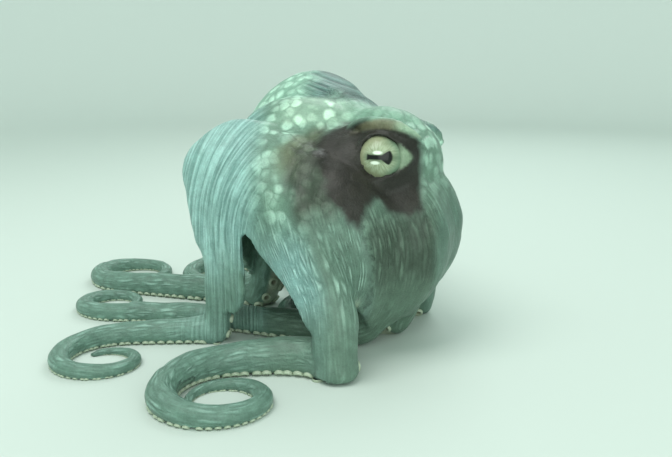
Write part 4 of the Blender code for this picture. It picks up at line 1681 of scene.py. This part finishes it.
    def lay_eye_corner(self) -> None:
        """Lays the pale skin in the front corner between the lids."""
        x, y = self.survey.gaze[:, 0], self.survey.gaze[:, 1]
        inside = depth_inside(x, y, self.survey.head.opening())
        corner = smoothstep(inside, -0.4, 0.8) * (self.survey.outside > -12) * smoothstep(x, 8, 12)
        self.paint.lay(corner, Zone.EYE_CORNER)

    def lay_mouth_side(self) -> None:
        """Lays the pale side of the arms that bears the suckers."""
        oral = self.on_arm * smoothstep(np.abs(self.survey.angle), 2.2, 2.7) * (1 - self.mantle)
        self.paint.lay(oral * 0.85, Zone.MOUTH_SIDE)


@dataclass
class Eye:
    """One eyeball, turned so that its axis points out of the socket."""

    head: Head
    place: Place
    side: Side
    bulge: float = 0.35             # how far the clear front stands out of the ball

    def build(self, finish: bpy.types.Material) -> bpy.types.Object:
        """Makes the eyeball.

        Args:
            finish: Material of the eyes.

        Returns:
            The finished piece.
        """
        bpy.ops.object.select_all(action='DESELECT')
        radius = self.head.eye_radius - self.bulge
        bpy.ops.mesh.primitive_uv_sphere_add(segments=64, ring_count=40, radius=radius)
        ball = bpy.context.object
        ball.name = ball.data.name = f"eyeball_{self.side.name.lower()}"
        points, _ = read_points(ball)
        out = points[:, 2] / radius
        points = points * (1 + self.bulge / self.head.eye_radius * smoothstep(out, 0.75, 1.0))[:, None]
        store(ball, "gaze", 'FLOAT_VECTOR', points)
        forward, up, axis = self.head.eye_frame(self.side)
        placed = self.head.eye_centre(self.side) + points @ np.stack([forward, up, axis])
        ball.data.vertices.foreach_set("co", self.place.to_metres(placed).ravel())
        if self.side is Side.LEFT:
            ball.data.flip_normals()
        ball.data.update()
        ball.data.shade_smooth()
        ball.data.materials.append(finish)
        return ball


@dataclass
class Suckers:
    """Two staggered rows of cups along the mouth side of one arm."""

    arm: Arm
    place: Place
    first: float = 40.0             # the rows start this far along the arm
    share: float = 0.27             # a cup's half width, as a share of the arm's
    spacing: float = 1.08           # step between cups of one row, in cup widths
    raised_spread: float = math.radians(18)
    resting_spread: float = math.radians(50)
    sides: int = 12
    last: float = 0.985             # the rows end at this share of the arm's length
    smallest: float = 0.45          # half width of the smallest cups
    search: float = 0.006           # metres from a cup's place to the skin, at most
    squareness: float = 0.35        # cosine from a cup's aim to the skin's normal, at least
    profile: Sequence[tuple[float, float]] = (      # outwards and upwards, in half widths
        (0.0, 0.05), (0.30, 0.05), (0.50, 0.30), (0.70, 0.50), (0.92, 0.44), (1.0, 0.16), (0.86, -0.35))

    def cup(self, centre: Array, normal: Array, radius: float) -> Array:
        """Makes the points of one cup.

        Args:
            centre: Its place on the skin.
            normal: Direction that it faces.
            radius: Its half width.

        Returns:
            Its rings of points, from the middle outwards.
        """
        side = unit(np.cross(normal, (0.31, 0.59, 0.74)))
        up = np.cross(normal, side)
        turns = np.linspace(0, 2 * math.pi, self.sides, endpoint=False)
        return np.array([centre + radius * (r * (side * math.cos(t) + up * math.sin(t)) + normal * h)
                         for r, h in self.profile for t in turns])

    def build(self, skin: BVHTree, finish: bpy.types.Material) -> bpy.types.Object:
        """Makes all cups of the arm as one piece.

        Args:
            skin: Surface of the skin in the frame's metres.
            finish: Material of the cups.

        Returns:
            The finished piece.
        """
        arm = self.arm
        verts: list[Array] = []
        faces: list[tuple[int, ...]] = []
        rings = len(self.profile)
        s, row, base = self.first, 1, 0
        while s < arm.length * self.last:
            i = arm.at(s)
            radius = max(self.smallest, arm.radius[i] * self.share)
            rest = float(smoothstep(s, arm.landed - 24, arm.landed))
            spread = self.raised_spread * (1 - rest) + self.resting_spread * rest
            aim = -arm.back[i] * math.cos(spread) + arm.side[i] * row * math.sin(spread)
            start = arm.points[i] + aim * arm.radius[i]
            place, normal, _, _ = skin.find_nearest(Vector(self.place.to_metres(start)), self.search)
            s += radius * self.spacing
            row = -row
            if place is None or Vector(aim).dot(normal) < self.squareness:
                continue
            centre = (np.array(place) - self.place.origin) / MILLIMETRE
            verts.append(self.cup(centre, unit(normal), radius))
            for j in range(rings - 1):
                for k in range(self.sides):
                    n = (k + 1) % self.sides
                    low, high = base + j * self.sides, base + (j + 1) * self.sides
                    faces.append((low + k, high + k, high + n, low + n))
            base += rings * self.sides
        piece = Shape(self.place.inside(np.vstack(verts)), faces).build(arm.name.replace("arm", "suckers"))
        reach = np.tile(np.repeat([r for r, _ in self.profile], self.sides), len(verts))
        store(piece, "cup", 'FLOAT', reach)
        piece.data.shade_smooth()
        piece.data.materials.append(finish)
        LOG.info("%s: %d cups", piece.name, len(verts))
        return piece


@dataclass
class Studio:
    """Pale floor, soft lights and the camera."""

    place: Place
    camera_at: Sequence[float] = (0.0, -401.0, 139.0)
    tilt: float = math.radians(12.0)
    focal: float = 43.45
    sensor: float = 36.0
    flat: float = 1.4               # radius of the level floor, in metres
    bend: float = 0.8
    wall_height: float = 2.6
    sides: int = 96
    spread: float = math.radians(140)               # keeps the floor beside a light from flaring up
    glow: Sequence[float] = (0.21, 0.24, 0.23)      # the wall gives back the light of the world that it hides

    def floor(self) -> None:
        """Adds a round floor, swept up into a wall on every side."""
        steps = np.linspace(0, math.pi / 2, 13)
        profile = [(r, 0.0) for r in np.linspace(0.1, self.flat, 12)]
        profile += [(self.flat + self.bend * math.sin(t), self.bend - self.bend * math.cos(t))
                    for t in steps[1:]]
        profile.append((self.flat + self.bend, self.wall_height))
        turns = np.linspace(0, 2 * math.pi, self.sides, endpoint=False)
        verts = np.array([(r * math.cos(t), r * math.sin(t), z) for r, z in profile for t in turns])
        faces: list[tuple[int, ...]] = [tuple(range(self.sides))]
        for k in range(len(profile) - 1):
            for i in range(self.sides):
                low, high, n = k * self.sides, (k + 1) * self.sides, (i + 1) % self.sides
                faces.append((low + i, high + i, high + n, low + n))
        floor = Shape(verts, faces).build("floor")
        far = smoothstep(np.hypot(verts[:, 0], verts[:, 1]), self.flat * 0.35, self.flat + self.bend)
        store(floor, "glow", 'FLOAT_COLOR', far[:, None] * np.array([*self.glow, 1.0]))
        floor.data.shade_smooth()
        g = Graph("floor")
        g.shader.inputs["Base Color"].default_value = linear(206, 218, 211)
        g.shader.inputs["Roughness"].default_value = 0.85
        g.put(g.shader.inputs["Emission Color"], g.attribute("glow", "Color"))
        g.shader.inputs["Emission Strength"].default_value = 1.0
        g.material.cycles.emission_sampling = 'NONE'
        floor.data.materials.append(g.material)

    def light(self, name: str, at: Sequence[float], aim: Sequence[float], size: float, power: float,
              colour: Sequence[float]) -> None:
        """Adds a square soft light.

        Args:
            name: Its name.
            at: Its place, in metres.
            aim: Point that it faces.
            size: Side of the square.
            power: Its power in watts.
            colour: Its colour.
        """
        data = bpy.data.lights.new(name, 'AREA')
        data.size, data.energy, data.color = size, power, tuple(colour)
        data.spread = self.spread
        lamp = bpy.data.objects.new(name, data)
        lamp.location = at
        lamp.rotation_euler = (Vector(aim) - Vector(at)).to_track_quat('-Z', 'Y').to_euler()
        bpy.context.scene.collection.objects.link(lamp)

    def build(self) -> None:
        """Adds floor, lights, world and camera."""
        self.floor()
        middle = (0.0, 0.0, 0.06)
        self.light("key", (-0.35, -0.30, 1.2), middle, 0.8, 5.0, (1.0, 1.0, 0.98))
        self.light("fill", (0.3, -1.1, 0.5), middle, 1.0, 3.5, (0.96, 1.0, 0.98))
        self.light("rim", (0.3, 0.8, 0.9), middle, 0.7, 2.8, (0.94, 1.0, 1.0))
        world = bpy.data.worlds.new("studio")
        world.use_nodes = True
        world.node_tree.nodes["Background"].inputs[0].default_value = linear(214, 228, 222)
        world.node_tree.nodes["Background"].inputs[1].default_value = 0.55
        bpy.context.scene.world = world
        bpy.context.scene.view_settings.view_transform = 'Standard'
        data = bpy.data.cameras.new("camera")
        data.sensor_width, data.lens = self.sensor, self.focal
        camera = bpy.data.objects.new("camera", data)
        camera.location = self.place.to_metres(self.camera_at)
        camera.rotation_euler = (math.pi / 2 - self.tilt, 0.0, 0.0)
        bpy.context.scene.collection.objects.link(camera)
        bpy.context.scene.camera = camera


def main() -> None:
    """Builds the animal and the studio, piece by piece."""
    logging.basicConfig(level=logging.INFO, format="%(message)s")
    head, trunk = Head(), Trunk()
    place = Place(head)
    skin = Skin(head, trunk, place).build(SkinFinish())
    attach(skin, "root")
    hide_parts(*(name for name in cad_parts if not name.startswith("eye")))
    eye_finish = EyeFinish().build()
    for side in Side:
        ball = Eye(head, place, side).build(eye_finish)
        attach(ball, "root")
        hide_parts(f"eye_{side.name.lower()}")
        LOG.info("made %s", ball.name)
    surface = BVHTree.FromObject(skin, bpy.context.evaluated_depsgraph_get())
    cup_finish = SuckerFinish().build()
    for arm in ARMS.values():
        cups = Suckers(arm, place).build(surface, cup_finish)
        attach(cups, "root")
    Studio(place).build()


if __name__ == "__main__":
    main()
